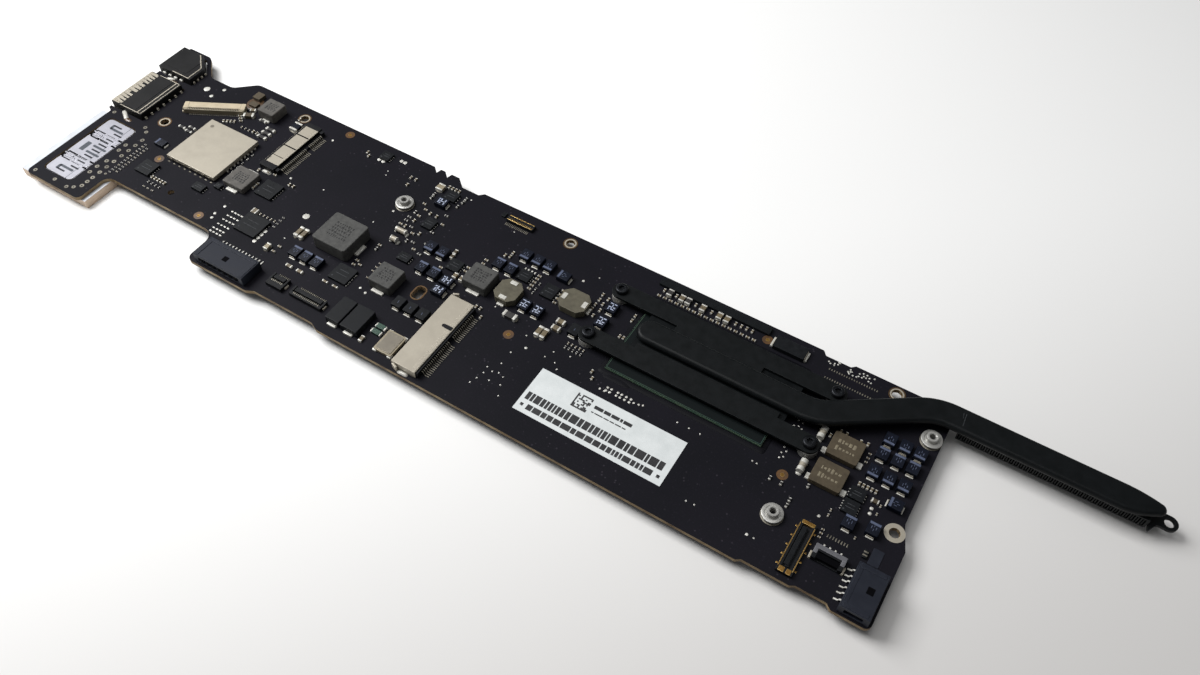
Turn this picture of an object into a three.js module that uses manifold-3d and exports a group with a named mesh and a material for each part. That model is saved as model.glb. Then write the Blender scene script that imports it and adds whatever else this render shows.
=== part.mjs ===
// Laptop logic board with its screwed-on heat sink.
// Millimetres. X runs along the board towards the fan end, Y towards the rear edge, Z out of the
// component face. The origin is on the underside, at the middle of the board's outline.

import * as THREE from "three";
import { mergeVertices } from "three/addons/utils/BufferGeometryUtils.js";
import ManifoldModule from "manifold-3d";

// ---------------------------------------------------------------------------------------------
// Driving dimensions. Every "bottom" and "top" is a height above the board's component face,
// except where a comment says otherwise.
// ---------------------------------------------------------------------------------------------

const BOARD_THICKNESS = 1.0;
const FACE = BOARD_THICKNESS; // height of the component face above the underside
const CONTACT_GAP = 0.05; // between pieces that rest on each other but come apart
const FREE_GAP = 0.3; // between a piece and a cut-out around it
const SMALL_FACETS = 16; // sides of screws, standoffs and small holes
const HOLE_STEPS = 4; // segments in each arc of a board hole

const EDGE = { left: -119.8, limbLeft: -118.3, right: 120.9, rightUpper: 118.6, front: -30.2, rear: 31.0 };

const PACKAGE = { x: 64.9, y: 8.3, length: 39.8, width: 24.0, bottom: 0.35, top: 0.95, ballInset: 0.9 };
const PROCESSOR_DIE = { x: 59.4, y: 8.8, length: 16.0, width: 8.3, top: 1.25 };
const CHIPSET_DIE = { x: 77.0, y: 8.8, length: 7.6, width: 5.8, top: 1.25 };

const COLD_PLATE = { x: 66.8, y: 9.1, length: 39.5, width: 17.2, bottom: 1.3, top: 2.0, corner: 1.0 };

const PIPE = {
  startX: 46.4, // closed end over the package
  startY: 9.1,
  width: 6.5,
  thickness: 2.0,
  bendStartX: 88.2,
  bendRadius: 12.5,
  bendAngle: THREE.MathUtils.degToRad(34.5),
  straightBetweenBends: 19.2,
  taperStartX: 155.0,
  endX: 164.0,
  endHalfWidth: 1.5,
  endShift: 0.8, // sideways drift of the crimped end
  stations: 12, // cross stations along each curved or tapered stretch
};

const ARM = { width: 4.7, thickness: 0.7, frontY: 1.35, rearY: 16.85 };
const ARM_HOLE_RADIUS = 1.15;
const FRONT_ARM_TAB = { fromX: 48.5, toX: 85.0, reachY: 5.3 };
const REAR_ARM_TAB = { fromX: 53.9, toX: 76.6, reachY: 12.75 };

const HEATSINK_SCREW_X = [37.4, 93.7];
const HEATSINK_SCREW = {
  headRadius: 1.6,
  headHeight: 1.0,
  shankRadius: 0.9,
  shankBottom: 0.3,
  socketRadius: 0.65,
  socketDepth: 0.6,
};
const HEATSINK_STANDOFF = { radius: 2.3, height: 1.9, bore: 1.0, boreBottom: 0.1 };

const FINS = { left: 120.4, right: 161.6, front: 22.3, rear: 27.5, count: 38, sheet: 0.3, web: 0.28 };
const FIN_BOTTOM = -BOARD_THICKNESS; // level with the board's underside
const LUG = { eyeX: 166.0, eyeY: 25.6, eyeRadius: 1.9, holeRadius: 1.1, thickness: 0.8, bottom: -0.8 };

const MOUNTING_STANDOFFS = [
  [-26.3, 13.7],
  [116.1, 18.0],
  [93.9, -17.1],
];
const MOUNTING_STANDOFF = { flangeRadius: 2.4, flangeTop: 1.0, bossRadius: 1.35, top: 2.0, bore: 0.7 };

const BOARD_HOLES = [
  [-102.0, 3.3, 1.25],
  [-70.5, 25.2, 1.25],
  [17.5, 25.2, 1.25],
  [105.2, 25.8, 1.35],
  [117.4, -7.4, 1.25],
  [-80.3, -15.6, 0.9],
];
const BOARD_SLOT = { x: -5.0, y: -8.3, width: 2.5, length: 3.9 };
// Tinned lands round the case-screw holes, which are all the board holes but the last.
const SCREW_LAND = { width: 0.65, height: 0.05 };

const SHEET = 0.3; // thickness of port shells, cages and shield cans
const PORT_BOTTOM = -3.2;
const PORT_TOP = 1.8;
const VIDEO_PORT = { left: -119.8, right: -107.5, front: 18.9, rear: 29.1, bevel: 4.6 };
const VIDEO_TONGUE = { front: 21.2, rear: 26.8, bottom: -1.2, top: -0.2, left: -117.6, root: 2.5 };
const DATA_PORT = { left: -119.2, right: -107.8, front: 0.7, rear: 16.0 };
const DATA_TONGUE = { front: 2.4, rear: 14.3, bottom: -0.1, top: 1.0, left: -117.8, root: 2.0 };

const CARD_CAGE = { left: -121.5, right: -97.6, front: -29.4, rear: -1.6, bottom: -3.6, top: -1.05 };
const CARD_BASE = { rail: 1.2, backWall: 2.4 };
const CARD_WINDOW = { left: -116.0, right: -105.5, front: -26.8, rear: -3.2, corner: 1.4 };
const COVER_PLATE = { bottom: -0.95, top: -0.25, slotLength: 4.2, slotWidth: 0.7 };
const COVER_SLOT_ROWS = [-22.6, -19.2, -15.0, -10.8, -7.4];

const DISPLAY_CONNECTOR = { x: -93.7, y: 14.5, length: 16.6, width: 3.4, top: 1.4, mouthDepth: 1.0 };
const DISPLAY_CONNECTOR_TURN = 28.9; // degrees from the board's long side
const SHIELD = { x: -81.9, y: 1.7, length: 16.9, width: 17.0, top: 1.6, skirtBottom: 0.35 };
const CONTROLLER_CHIP = { size: 10.7, top: 1.0 };

const WIRELESS_CONNECTOR = { left: -67.1, shellRight: -62.3, right: -61.2, front: 4.0, rear: 23.3, top: 1.7 };
const DRIVE_CONNECTOR = { left: 3.1, shellRight: 9.9, right: 10.4, front: -28.9, rear: -5.6, top: 2.1 };
const CARD_MOUTH = { bottom: 0.6, top: 1.4, depth: 2.6, endWall: 1.4 };

const BATTERY_CONNECTOR = { left: -57.8, right: -41.9, front: -29.4, rear: -22.8, top: 2.8 };
const POWER_CONNECTOR = { left: 113.6, right: 120.2, front: -29.4, rear: -18.4, top: 2.8 };
const PLUG_MOUTH = { bottom: 0.7, top: 2.0, depth: 3.0, endWall: 1.3 };

const FAN_CONNECTOR = { left: 104.6, right: 111.4, front: -22.0, rear: -18.6, top: 1.4 };
const FAN_CONNECTOR_WALLS = { cheek: 1.0, back: 1.5 };
const FLEX_CONNECTOR = { left: 99.6, right: 103.2, front: -28.0, rear: -14.9, top: 0.9 };
const FLEX_CONNECTOR_WALLS = { rim: 0.8, floor: 0.3 };

const TRACKPAD_CONNECTOR = { left: -30.8, right: -21.0, front: -25.6, rear: -22.8, height: 1.1 };
const BACKLIGHT_CONNECTOR = { left: -37.9, right: -33.0, front: -26.0, rear: -22.3, height: 1.1 };
const LATCH = { thickness: 0.45, depth: 1.2, endGap: 0.5, clearance: 0.32, lip: 0.1 };

const POWER_INDUCTOR = { x: -31.2, y: -5.2, length: 10.4, width: 10.0, top: 4.0, corner: 0.8 };
const COILS = [
  { x: -78.8, y: 21.7, length: 5.6, width: 5.6, top: 3.0, corner: 0.4, tone: "grey" },
  { x: -67.4, y: -2.7, length: 7.0, width: 6.9, top: 1.8, corner: 0.4, tone: "grey" },
  { x: -13.3, y: -9.7, length: 6.5, width: 6.6, top: 3.0, corner: 0.4, tone: "grey" },
  { x: 6.0, y: 2.3, length: 6.9, width: 6.5, top: 3.0, corner: 0.4, tone: "grey" },
  { x: 13.9, y: 2.8, length: 6.2, width: 6.9, top: 2.0, corner: 1.6, tone: "sand" },
  { x: 29.1, y: 8.6, length: 7.5, width: 6.5, top: 2.0, corner: 1.6, tone: "sand" },
  { x: 100.9, y: 5.4, length: 7.2, width: 6.4, top: 1.5, corner: 0.5, tone: "tan" },
  { x: 100.4, y: -2.7, length: 7.2, width: 6.4, top: 1.5, corner: 0.5, tone: "tan" },
];
const REAR_CHOKE = { x: 79.1, y: 24.2, length: 8.0, width: 3.6, top: 1.3, corner: 0.3 };

const MEMORY = { length: 14.0, width: 12.0, thickness: 1.0, xs: [47.0, 63.0, 79.0, 95.0], y: 0.0 };
const STICKER = { x: 51.8, y: -17.4, length: 37.8, width: 12.7, thickness: 0.1 };
const FOAM_STRIP = { x: 58.2, y: 26.4, length: 29.9, width: 2.3, thickness: 0.8 };

// ---------------------------------------------------------------------------------------------
// Materials
// ---------------------------------------------------------------------------------------------

const MATERIALS = {
  solderMask: { color: 0x1c1b21, roughness: 0.45, metalness: 0.0 },
  blackPaint: { color: 0x1d1f22, roughness: 0.55, metalness: 0.2 },
  laminate: { color: 0x24443a, roughness: 0.4, metalness: 0.0 },
  silicon: { color: 0x4b5263, roughness: 0.15, metalness: 0.6 },
  copper: { color: 0xb8734a, roughness: 0.35, metalness: 1.0 },
  tinnedSteel: { color: 0xcfcac0, roughness: 0.35, metalness: 0.9 },
  coverPlate: { color: 0xdfe0e4, roughness: 0.4, metalness: 0.7 },
  nickel: { color: 0xc9c7c2, roughness: 0.25, metalness: 1.0 },
  gold: { color: 0xd9b66a, roughness: 0.3, metalness: 1.0 },
  blackPlastic: { color: 0x1f2024, roughness: 0.5, metalness: 0.0 },
  slatePlastic: { color: 0x3f4655, roughness: 0.45, metalness: 0.0 },
  creamPlastic: { color: 0xd6cdbd, roughness: 0.5, metalness: 0.0 },
  greyPlastic: { color: 0xa9abb2, roughness: 0.5, metalness: 0.0 },
  chipPlastic: { color: 0x2b2c30, roughness: 0.5, metalness: 0.0 },
  greyFerrite: { color: 0x8f9092, roughness: 0.6, metalness: 0.1 },
  sandFerrite: { color: 0x827d70, roughness: 0.6, metalness: 0.1 },
  tanFerrite: { color: 0x85796a, roughness: 0.6, metalness: 0.1 },
  paper: { color: 0xeeeeec, roughness: 0.7, metalness: 0.0 },
  foam: { color: 0x17181a, roughness: 0.95, metalness: 0.0 },
};
const FERRITES = { grey: "greyFerrite", sand: "sandFerrite", tan: "tanFerrite" };

// ---------------------------------------------------------------------------------------------
// Solids
// ---------------------------------------------------------------------------------------------

const manifoldLibrary = await ManifoldModule();
manifoldLibrary.setup();
const { Manifold, Mesh: ManifoldMesh } = manifoldLibrary;

const WELD = 1e-4; // vertices closer than this are one vertex
const OVERSHOOT = 0.5; // how far a cutting tool runs past the face it cuts
const ARC_STEPS = 3;

// A closed three.js geometry as a manifold-3d solid.
function solidFrom(geometry) {
  const bare = new THREE.BufferGeometry();
  bare.setAttribute("position", geometry.getAttribute("position"));
  bare.setIndex(geometry.getIndex());
  const welded = mergeVertices(bare, WELD);
  return new Manifold(
    new ManifoldMesh({
      numProp: 3,
      vertProperties: new Float32Array(welded.attributes.position.array),
      triVerts: new Uint32Array(welded.index.array),
    }),
  );
}

// A manifold-3d solid as a flat-shaded three.js geometry.
function geometryFrom(solid) {
  const mesh = solid.getMesh();
  const geometry = new THREE.BufferGeometry();
  geometry.setAttribute("position", new THREE.BufferAttribute(mesh.vertProperties, mesh.numProp));
  geometry.setIndex(new THREE.BufferAttribute(mesh.triVerts, 1));
  const flat = geometry.toNonIndexed();
  flat.computeVertexNormals();
  return flat;
}

// A closed path through corners [x, y, radius], each corner rounded by an arc of its radius.
function roundedPath(corners, path = new THREE.Shape()) {
  corners.forEach(([x, y, radius = 0], index) => {
    const corner = new THREE.Vector2(x, y);
    const [beforeX, beforeY] = corners.at(index - 1);
    const [afterX, afterY] = corners[(index + 1) % corners.length];
    const before = new THREE.Vector2(beforeX, beforeY).sub(corner).normalize();
    const after = new THREE.Vector2(afterX, afterY).sub(corner).normalize();
    if (radius === 0) {
      if (index === 0) path.moveTo(x, y);
      else path.lineTo(x, y);
      return;
    }
    const halfAngle = Math.acos(before.dot(after)) / 2;
    const start = corner.clone().addScaledVector(before, radius / Math.tan(halfAngle));
    const end = corner.clone().addScaledVector(after, radius / Math.tan(halfAngle));
    const towardsCentre = before.clone().add(after).normalize();
    const centre = corner.clone().addScaledVector(towardsCentre, radius / Math.sin(halfAngle));
    const turnsClockwise = before.cross(after) > 0;
    if (index === 0) path.moveTo(start.x, start.y);
    const startAngle = start.clone().sub(centre).angle();
    const endAngle = end.clone().sub(centre).angle();
    path.absarc(centre.x, centre.y, radius, startAngle, endAngle, turnsClockwise);
  });
  path.closePath();
  return path;
}

function rectanglePath({ left, right, front, rear, corner = 0 }, path) {
  const corners = [
    [left, front, corner],
    [right, front, corner],
    [right, rear, corner],
    [left, rear, corner],
  ];
  return roundedPath(corners, path);
}

function circlePath(x, y, radius, path = new THREE.Path()) {
  path.absarc(x, y, radius, 0, 2 * Math.PI, false);
  return path;
}

// A prism over a closed path, between two heights above the component face.
function prism(shape, bottom, top, curveSegments = ARC_STEPS) {
  const depth = top - bottom;
  const geometry = new THREE.ExtrudeGeometry(shape, { depth, bevelEnabled: false, curveSegments });
  geometry.translate(0, 0, FACE + bottom);
  return solidFrom(geometry);
}

function block({ left, right, front, rear, corner = 0 }, bottom, top) {
  return prism(rectanglePath({ left, right, front, rear, corner }), bottom, top);
}

// A vertical round bar.
function roundBar(x, y, radius, bottom, top) {
  return prism(circlePath(x, y, radius, new THREE.Shape()), bottom, top, SMALL_FACETS / 2);
}

// The edges of a rectangle given by its centre and size, moved outwards by margin.
function edgesOf({ x, y, length, width, corner = 0 }, margin = 0) {
  return {
    left: x - length / 2 - margin,
    right: x + length / 2 + margin,
    front: y - width / 2 - margin,
    rear: y + width / 2 + margin,
    corner,
  };
}

// A rectangle's edges moved inwards by margin.
function inset({ left, right, front, rear, corner = 0 }, margin) {
  return { left: left + margin, right: right - margin, front: front + margin, rear: rear - margin, corner };
}

// A solid of revolution about a vertical axis, from [radius, height] points that start and end on it.
function turned(x, y, profile, facets = SMALL_FACETS) {
  const points = profile.map(([radius, height]) => new THREE.Vector2(radius, height));
  const geometry = new THREE.LatheGeometry(points, facets);
  geometry.rotateX(Math.PI / 2);
  geometry.translate(x, y, FACE);
  return solidFrom(geometry);
}

// ---------------------------------------------------------------------------------------------
// The assembly
// ---------------------------------------------------------------------------------------------

const assembly = new THREE.Group();
assembly.name = "logic_board_with_heat_sink";

function addPiece(name, solid, materialName) {
  const material = new THREE.MeshStandardMaterial(MATERIALS[materialName]);
  const mesh = new THREE.Mesh(geometryFrom(solid), material);
  mesh.name = name;
  assembly.add(mesh);
}

// --- Circuit board ---------------------------------------------------------------------------

const CORNER = 1.5; // radius of the board's ordinary outer corners

// The notch in the board's left end that a port sits in.
function portNotch(port) {
  return { front: port.front - FREE_GAP, rear: port.rear + FREE_GAP, inner: port.right + FREE_GAP };
}

function boardOutline() {
  const { left, limbLeft, right, rightUpper, front, rear } = EDGE;
  const video = portNotch(VIDEO_PORT);
  const data = portNotch(DATA_PORT);
  return [
    // front edge, from the card-slot limb to the fan end
    [limbLeft, front, CORNER],
    [-98.7, front, CORNER],
    [-98.7, -20.2, 2.4],
    [-60.4, -20.2, 3.4],
    [-60.4, front + 0.1, 2.0],
    [-40.8, front + 0.1, 1.0],
    [-38.8, -29.1, 1.0],
    [-20.8, -29.1, 0.6],
    [-18.5, front, 0.8],
    [91.8, front, 0.4],
    [92.8, -29.5, 0.4],
    [103.6, -29.5, 0.4],
    [104.6, -28.9, 0.4],
    [111.4, -28.9, 0.4],
    [112.6, front + 0.3, 0.6],
    [right, front + 0.3, CORNER],
    // fan end
    [right, -10.4, 0.6],
    [rightUpper, -4.4, 1.0],
    [rightUpper, 28.2, CORNER],
    // rear edge, back towards the ports
    [94.2, 28.2, 0.4],
    [93.3, 27.3, 0.4],
    [87.0, 27.3, 0.4],
    [86.0, 28.5, 0.4],
    [45.0, 28.5],
    [-11.0, 28.0, 0.4],
    [-12.2, 26.8, 0.4],
    [-17.4, 26.8, 0.4],
    [-20.2, 29.3, 0.4],
    [-22.7, 29.3],
    [-23.1, 27.7],
    [-24.8, 29.3],
    [-26.2, 29.3],
    [-26.6, 27.7],
    [-28.3, 29.3],
    [-91.2, 29.4, 3.0],
    [-96.8, 24.3, 3.0],
    [-105.0, 24.3, 3.0],
    [-111.6, rear, 3.0],
    [left, rear, 0.4],
    // left end, round the two port notches
    [left, video.rear],
    [video.inner - VIDEO_PORT.bevel, video.rear],
    [video.inner, video.rear - VIDEO_PORT.bevel],
    [video.inner, video.front],
    [left, video.front],
    [left, data.rear],
    [data.inner, data.rear],
    [data.inner, data.front],
    [left, data.front],
    [left, -0.4, 0.4],
    [limbLeft, -1.2, 0.4],
  ];
}

function circuitBoard() {
  const shape = roundedPath(boardOutline());
  for (const [x, y, radius] of BOARD_HOLES) shape.holes.push(circlePath(x, y, radius));
  const slotEdges = edgesOf({ ...BOARD_SLOT, width: BOARD_SLOT.length, length: BOARD_SLOT.width });
  shape.holes.push(rectanglePath({ ...slotEdges, corner: 0.9 }, new THREE.Path()));
  shape.holes.push(rectanglePath(CARD_WINDOW, new THREE.Path()));
  let board = prism(shape, -BOARD_THICKNESS, 0, HOLE_STEPS);
  for (const [x, y, radius] of BOARD_HOLES.slice(0, -1)) {
    const land = circlePath(x, y, radius + SCREW_LAND.width, new THREE.Shape());
    land.holes.push(circlePath(x, y, radius));
    const { height } = SCREW_LAND;
    board = board.add(prism(land, -BOARD_THICKNESS - height, height, HOLE_STEPS));
  }
  return board;
}

addPiece("circuit_board", circuitBoard(), "solderMask");

// --- Processor -------------------------------------------------------------------------------

function processorPackage() {
  const laminate = block(edgesOf(PACKAGE), PACKAGE.bottom, PACKAGE.top);
  const ballField = block(edgesOf(PACKAGE, -PACKAGE.ballInset), 0, PACKAGE.bottom);
  return laminate.add(ballField);
}

addPiece("processor_package", processorPackage(), "laminate");
addPiece("processor_die", block(edgesOf(PROCESSOR_DIE), PACKAGE.top, PROCESSOR_DIE.top), "silicon");
addPiece("chipset_die", block(edgesOf(CHIPSET_DIE), PACKAGE.top, CHIPSET_DIE.top), "silicon");

// --- Heat sink -------------------------------------------------------------------------------

// The pipe's centre line: straight over the package, an S-bend, then straight over the fins.
function pipeCentreLine() {
  const { startX, startY, bendStartX, bendRadius, bendAngle, straightBetweenBends } = PIPE;
  const path = new THREE.CurvePath();
  const start = new THREE.Vector2(startX + PIPE.width / 2, startY);
  const bendStart = new THREE.Vector2(bendStartX, startY);
  const quarter = Math.PI / 2;
  const firstBend = new THREE.EllipseCurve(
    bendStartX,
    startY + bendRadius,
    bendRadius,
    bendRadius,
    -quarter,
    bendAngle - quarter,
  );
  const firstEnd = firstBend.getPoint(1);
  const slope = new THREE.Vector2(Math.cos(bendAngle), Math.sin(bendAngle));
  const secondStart = firstEnd.clone().addScaledVector(slope, straightBetweenBends);
  const normal = new THREE.Vector2(Math.sin(bendAngle), -Math.cos(bendAngle));
  const centre = secondStart.clone().addScaledVector(normal, bendRadius);
  const secondBend = new THREE.EllipseCurve(
    centre.x,
    centre.y,
    bendRadius,
    bendRadius,
    bendAngle + quarter,
    quarter,
    true,
  );
  const secondEnd = secondBend.getPoint(1);
  const taperStart = new THREE.Vector2(PIPE.taperStartX, secondEnd.y);
  path.add(new THREE.LineCurve(start, bendStart));
  path.add(firstBend);
  path.add(new THREE.LineCurve(firstEnd, secondStart));
  path.add(secondBend);
  path.add(new THREE.LineCurve(secondEnd, taperStart));
  return path;
}

// Stations along the pipe: where its middle is, which way it runs and how wide it is there.
function pipeStations() {
  const stations = [];
  for (const curve of pipeCentreLine().curves) {
    const steps = curve.isLineCurve ? 1 : PIPE.stations;
    for (let step = 0; step < steps; step += 1) {
      const point = curve.getPoint(step / steps);
      stations.push({ point, heading: curve.getTangent(step / steps).angle(), halfWidth: PIPE.width / 2 });
    }
  }
  const lastY = stations.at(-1).point.y;
  for (let step = 0; step <= PIPE.stations; step += 1) {
    const share = step / PIPE.stations;
    const eased = share * share;
    const x = THREE.MathUtils.lerp(PIPE.taperStartX, PIPE.endX - PIPE.endHalfWidth, share);
    const point = new THREE.Vector2(x, lastY + PIPE.endShift * eased);
    const halfWidth = THREE.MathUtils.lerp(PIPE.width / 2, PIPE.endHalfWidth, eased);
    stations.push({ point, heading: 0, halfWidth });
  }
  return stations;
}

// Points round a half circle that closes the pipe's outline at one of its ends.
function endCap({ point, heading, halfWidth }, fromAngle, steps = 8) {
  const points = [];
  for (let step = 1; step < steps; step += 1) {
    const angle = heading + fromAngle + (Math.PI * step) / steps;
    const spoke = new THREE.Vector2(Math.cos(angle), Math.sin(angle));
    points.push(point.clone().addScaledVector(spoke, halfWidth));
  }
  return points;
}

// The pipe was a round tube and is pressed flat, so its two long sides stay half round.
function heatPipe() {
  const stations = pipeStations();
  const sideRadius = PIPE.thickness / 2 - 0.05;
  const offset = ({ point, heading, halfWidth }, side) =>
    new THREE.Vector2(
      point.x - Math.sin(heading) * side * (halfWidth - sideRadius),
      point.y + Math.cos(heading) * side * (halfWidth - sideRadius),
    );
  const narrowed = (station) => ({ ...station, halfWidth: station.halfWidth - sideRadius });
  const outline = [
    ...stations.map((station) => offset(station, -1)),
    ...endCap(narrowed(stations.at(-1)), -Math.PI / 2),
    ...stations.toReversed().map((station) => offset(station, 1)),
    ...endCap(narrowed(stations[0]), Math.PI / 2),
  ];
  const geometry = new THREE.ExtrudeGeometry(new THREE.Shape(outline), {
    depth: PIPE.thickness - 2 * sideRadius,
    bevelThickness: sideRadius,
    bevelSize: sideRadius,
    bevelSegments: 4,
  });
  geometry.translate(0, 0, FACE + COLD_PLATE.top + sideRadius);
  return solidFrom(geometry);
}

// A spring arm: a strip that ends round its two screws, with a tab that is fixed to the cold plate.
function springArm(y, tab) {
  const radius = ARM.width / 2;
  const [leftX, rightX] = HEATSINK_SCREW_X;
  const strip = { left: leftX - radius, right: rightX + radius, front: y - radius, rear: y + radius };
  const tabEdges = {
    left: tab.fromX,
    right: tab.toX,
    front: Math.min(y, tab.reachY),
    rear: Math.max(y, tab.reachY),
  };
  const bottom = COLD_PLATE.top;
  const top = bottom + ARM.thickness;
  const cutFrom = bottom - OVERSHOOT;
  const cutTo = top + OVERSHOOT;
  const holes = HEATSINK_SCREW_X.map((x) => roundBar(x, y, ARM_HOLE_RADIUS, cutFrom, cutTo));
  return block({ ...strip, corner: radius - CONTACT_GAP }, bottom, top)
    .add(block(tabEdges, bottom, top))
    .subtract(Manifold.union(holes));
}

// Vertical fins between a top and a bottom sheet, open at the front and the rear.
function finStack() {
  const top = COLD_PLATE.top;
  const pitch = (FINS.right - FINS.left - FINS.web) / FINS.count;
  const channels = [];
  for (let index = 0; index < FINS.count; index += 1) {
    const left = FINS.left + FINS.web + index * pitch;
    const right = left + pitch - FINS.web;
    const channel = { left, right, front: FINS.front - OVERSHOOT, rear: FINS.rear + OVERSHOOT };
    channels.push(block(channel, FIN_BOTTOM + FINS.sheet, top - FINS.sheet));
  }
  return block(FINS, FIN_BOTTOM, top).subtract(Manifold.union(channels));
}

// A flat ear with a hole, with an upright flange against the last fin.
function finStackLug() {
  const { eyeX, eyeY, eyeRadius, holeRadius, thickness, bottom } = LUG;
  const root = FINS.right;
  const plate = roundedPath([
    [root, FINS.front - 0.8],
    [root + 1.0, FINS.front - 0.8, 0.4],
    [root + 2.2, eyeY - eyeRadius + 0.2, 1.4],
    [eyeX, eyeY - eyeRadius],
    [eyeX, eyeY + eyeRadius],
    [root + 1.6, FINS.rear, 0.5],
    [root, FINS.rear],
  ]);
  const flange = { left: root, right: root + FINS.sheet, front: FINS.front, rear: FINS.rear };
  const top = bottom + thickness;
  const eye = roundBar(eyeX, eyeY, eyeRadius, bottom, top);
  const hole = roundBar(eyeX, eyeY, holeRadius, bottom - OVERSHOOT, top + OVERSHOOT);
  return prism(plate, bottom, top).add(eye).subtract(hole).add(block(flange, bottom, COLD_PLATE.top));
}

addPiece(
  "heatsink_cold_plate",
  block(edgesOf(COLD_PLATE), COLD_PLATE.bottom, COLD_PLATE.top),
  "copper",
);
addPiece("heat_pipe", heatPipe(), "blackPaint");
addPiece("heatsink_arm_front", springArm(ARM.frontY, FRONT_ARM_TAB), "blackPaint");
addPiece("heatsink_arm_rear", springArm(ARM.rearY, REAR_ARM_TAB), "blackPaint");
addPiece("fin_stack", finStack(), "blackPaint");
addPiece("fin_stack_lug", finStackLug(), "blackPaint");

// --- Screws and standoffs --------------------------------------------------------------------

function heatsinkScrew(x, y) {
  const { headRadius, headHeight, shankRadius, shankBottom, socketRadius, socketDepth } = HEATSINK_SCREW;
  const seat = COLD_PLATE.top + ARM.thickness + CONTACT_GAP;
  const crown = seat + headHeight;
  return turned(x, y, [
    [0, shankBottom],
    [shankRadius, shankBottom],
    [shankRadius, seat],
    [headRadius, seat],
    [headRadius, crown],
    [socketRadius, crown],
    [socketRadius, crown - socketDepth],
    [0, crown - socketDepth],
  ]);
}

function heatsinkStandoff(x, y) {
  const { radius, height, bore, boreBottom } = HEATSINK_STANDOFF;
  return turned(x, y, [
    [0, 0],
    [radius, 0],
    [radius, height],
    [bore, height],
    [bore, boreBottom],
    [0, boreBottom],
  ]);
}

function mountingStandoff(x, y) {
  const { flangeRadius, flangeTop, bossRadius, top, bore } = MOUNTING_STANDOFF;
  return turned(x, y, [
    [0, 0],
    [flangeRadius, 0],
    [flangeRadius, flangeTop],
    [bossRadius, flangeTop],
    [bossRadius, top],
    [bore, top],
    [bore, CONTACT_GAP],
    [0, CONTACT_GAP],
  ]);
}

[ARM.frontY, ARM.rearY].forEach((y, row) => {
  HEATSINK_SCREW_X.forEach((x, column) => {
    const number = 2 * row + column + 1;
    addPiece(`heatsink_screw_${number}`, heatsinkScrew(x, y), "blackPaint");
    addPiece(`heatsink_standoff_${number}`, heatsinkStandoff(x, y), "nickel");
  });
});

MOUNTING_STANDOFFS.forEach(([x, y], index) => {
  addPiece(`mounting_standoff_${index + 1}`, mountingStandoff(x, y), "nickel");
});

// --- Ports at the left end -------------------------------------------------------------------

// A folded sheet-metal shell, open on its left side. bevel cuts its inner rear corner.
function portShell(port) {
  const { left, right, front, rear, bevel = 0 } = port;
  const outline = (margin, mouth) => [
    [left - mouth, front + margin],
    [right - margin, front + margin],
    [right - margin, rear - margin - bevel],
    [right - margin - bevel, rear - margin],
    [left - mouth, rear - margin],
  ];
  const corners = (margin, mouth) => outline(margin, mouth).filter((_, index) => bevel > 0 || index !== 3);
  const outside = prism(roundedPath(corners(0, 0)), PORT_BOTTOM, PORT_TOP);
  const hollow = prism(roundedPath(corners(SHEET, OVERSHOOT)), PORT_BOTTOM + SHEET, PORT_TOP - SHEET);
  return outside.subtract(hollow);
}

// The insulator inside a port: a block at the back of the shell and a thin tongue towards the mouth.
function portTongue(port, tongue) {
  const clear = SHEET + CONTACT_GAP;
  const back = {
    left: port.right - clear - tongue.root,
    right: port.right - clear,
    front: port.front + clear,
    rear: port.rear - clear - (port.bevel ?? 0),
  };
  const blade = { left: tongue.left, right: back.left + CONTACT_GAP, front: tongue.front, rear: tongue.rear };
  const body = block(back, PORT_BOTTOM + clear, PORT_TOP - clear);
  return body.add(block(blade, tongue.bottom, tongue.top));
}

addPiece("video_port_shell", portShell(VIDEO_PORT), "tinnedSteel");
addPiece("video_port_tongue", portTongue(VIDEO_PORT, VIDEO_TONGUE), "blackPlastic");
addPiece("data_port_shell", portShell(DATA_PORT), "tinnedSteel");
addPiece("data_port_tongue", portTongue(DATA_PORT, DATA_TONGUE), "blackPlastic");

// --- Memory-card slot under the left limb ----------------------------------------------------

function cardCage() {
  const { left, right, bottom, top } = CARD_CAGE;
  const walls = inset(CARD_CAGE, SHEET);
  const hollow = block({ ...walls, left: left - OVERSHOOT }, bottom - OVERSHOOT, top - SHEET);
  return block({ ...CARD_CAGE, left, right }, bottom, top).subtract(hollow);
}

// The plastic frame inside the cage: a guide rail on each side and a contact wall at the back.
function cardBase() {
  const frame = inset(CARD_CAGE, SHEET + CONTACT_GAP);
  const { bottom, top } = CARD_CAGE;
  const roof = top - SHEET - CONTACT_GAP;
  const pocket = {
    left: frame.left - OVERSHOOT,
    right: frame.right - CARD_BASE.backWall,
    front: frame.front + CARD_BASE.rail,
    rear: frame.rear - CARD_BASE.rail,
  };
  return block(frame, bottom, roof).subtract(block(pocket, bottom - OVERSHOOT, roof + OVERSHOOT));
}

function coverPlate() {
  const { bottom, top, slotLength, slotWidth } = COVER_PLATE;
  const shape = rectanglePath(inset(CARD_WINDOW, FREE_GAP));
  const x = (CARD_WINDOW.left + CARD_WINDOW.right) / 2;
  for (const y of COVER_SLOT_ROWS) {
    const slot = edgesOf({ x, y, length: slotLength, width: slotWidth });
    shape.holes.push(rectanglePath(slot, new THREE.Path()));
  }
  return prism(shape, bottom, top);
}

addPiece("card_slot_cage", cardCage(), "tinnedSteel");
addPiece("card_slot_base", cardBase(), "blackPlastic");
addPiece("card_slot_cover_plate", coverPlate(), "coverPlate");

// --- Connectors ------------------------------------------------------------------------------

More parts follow.
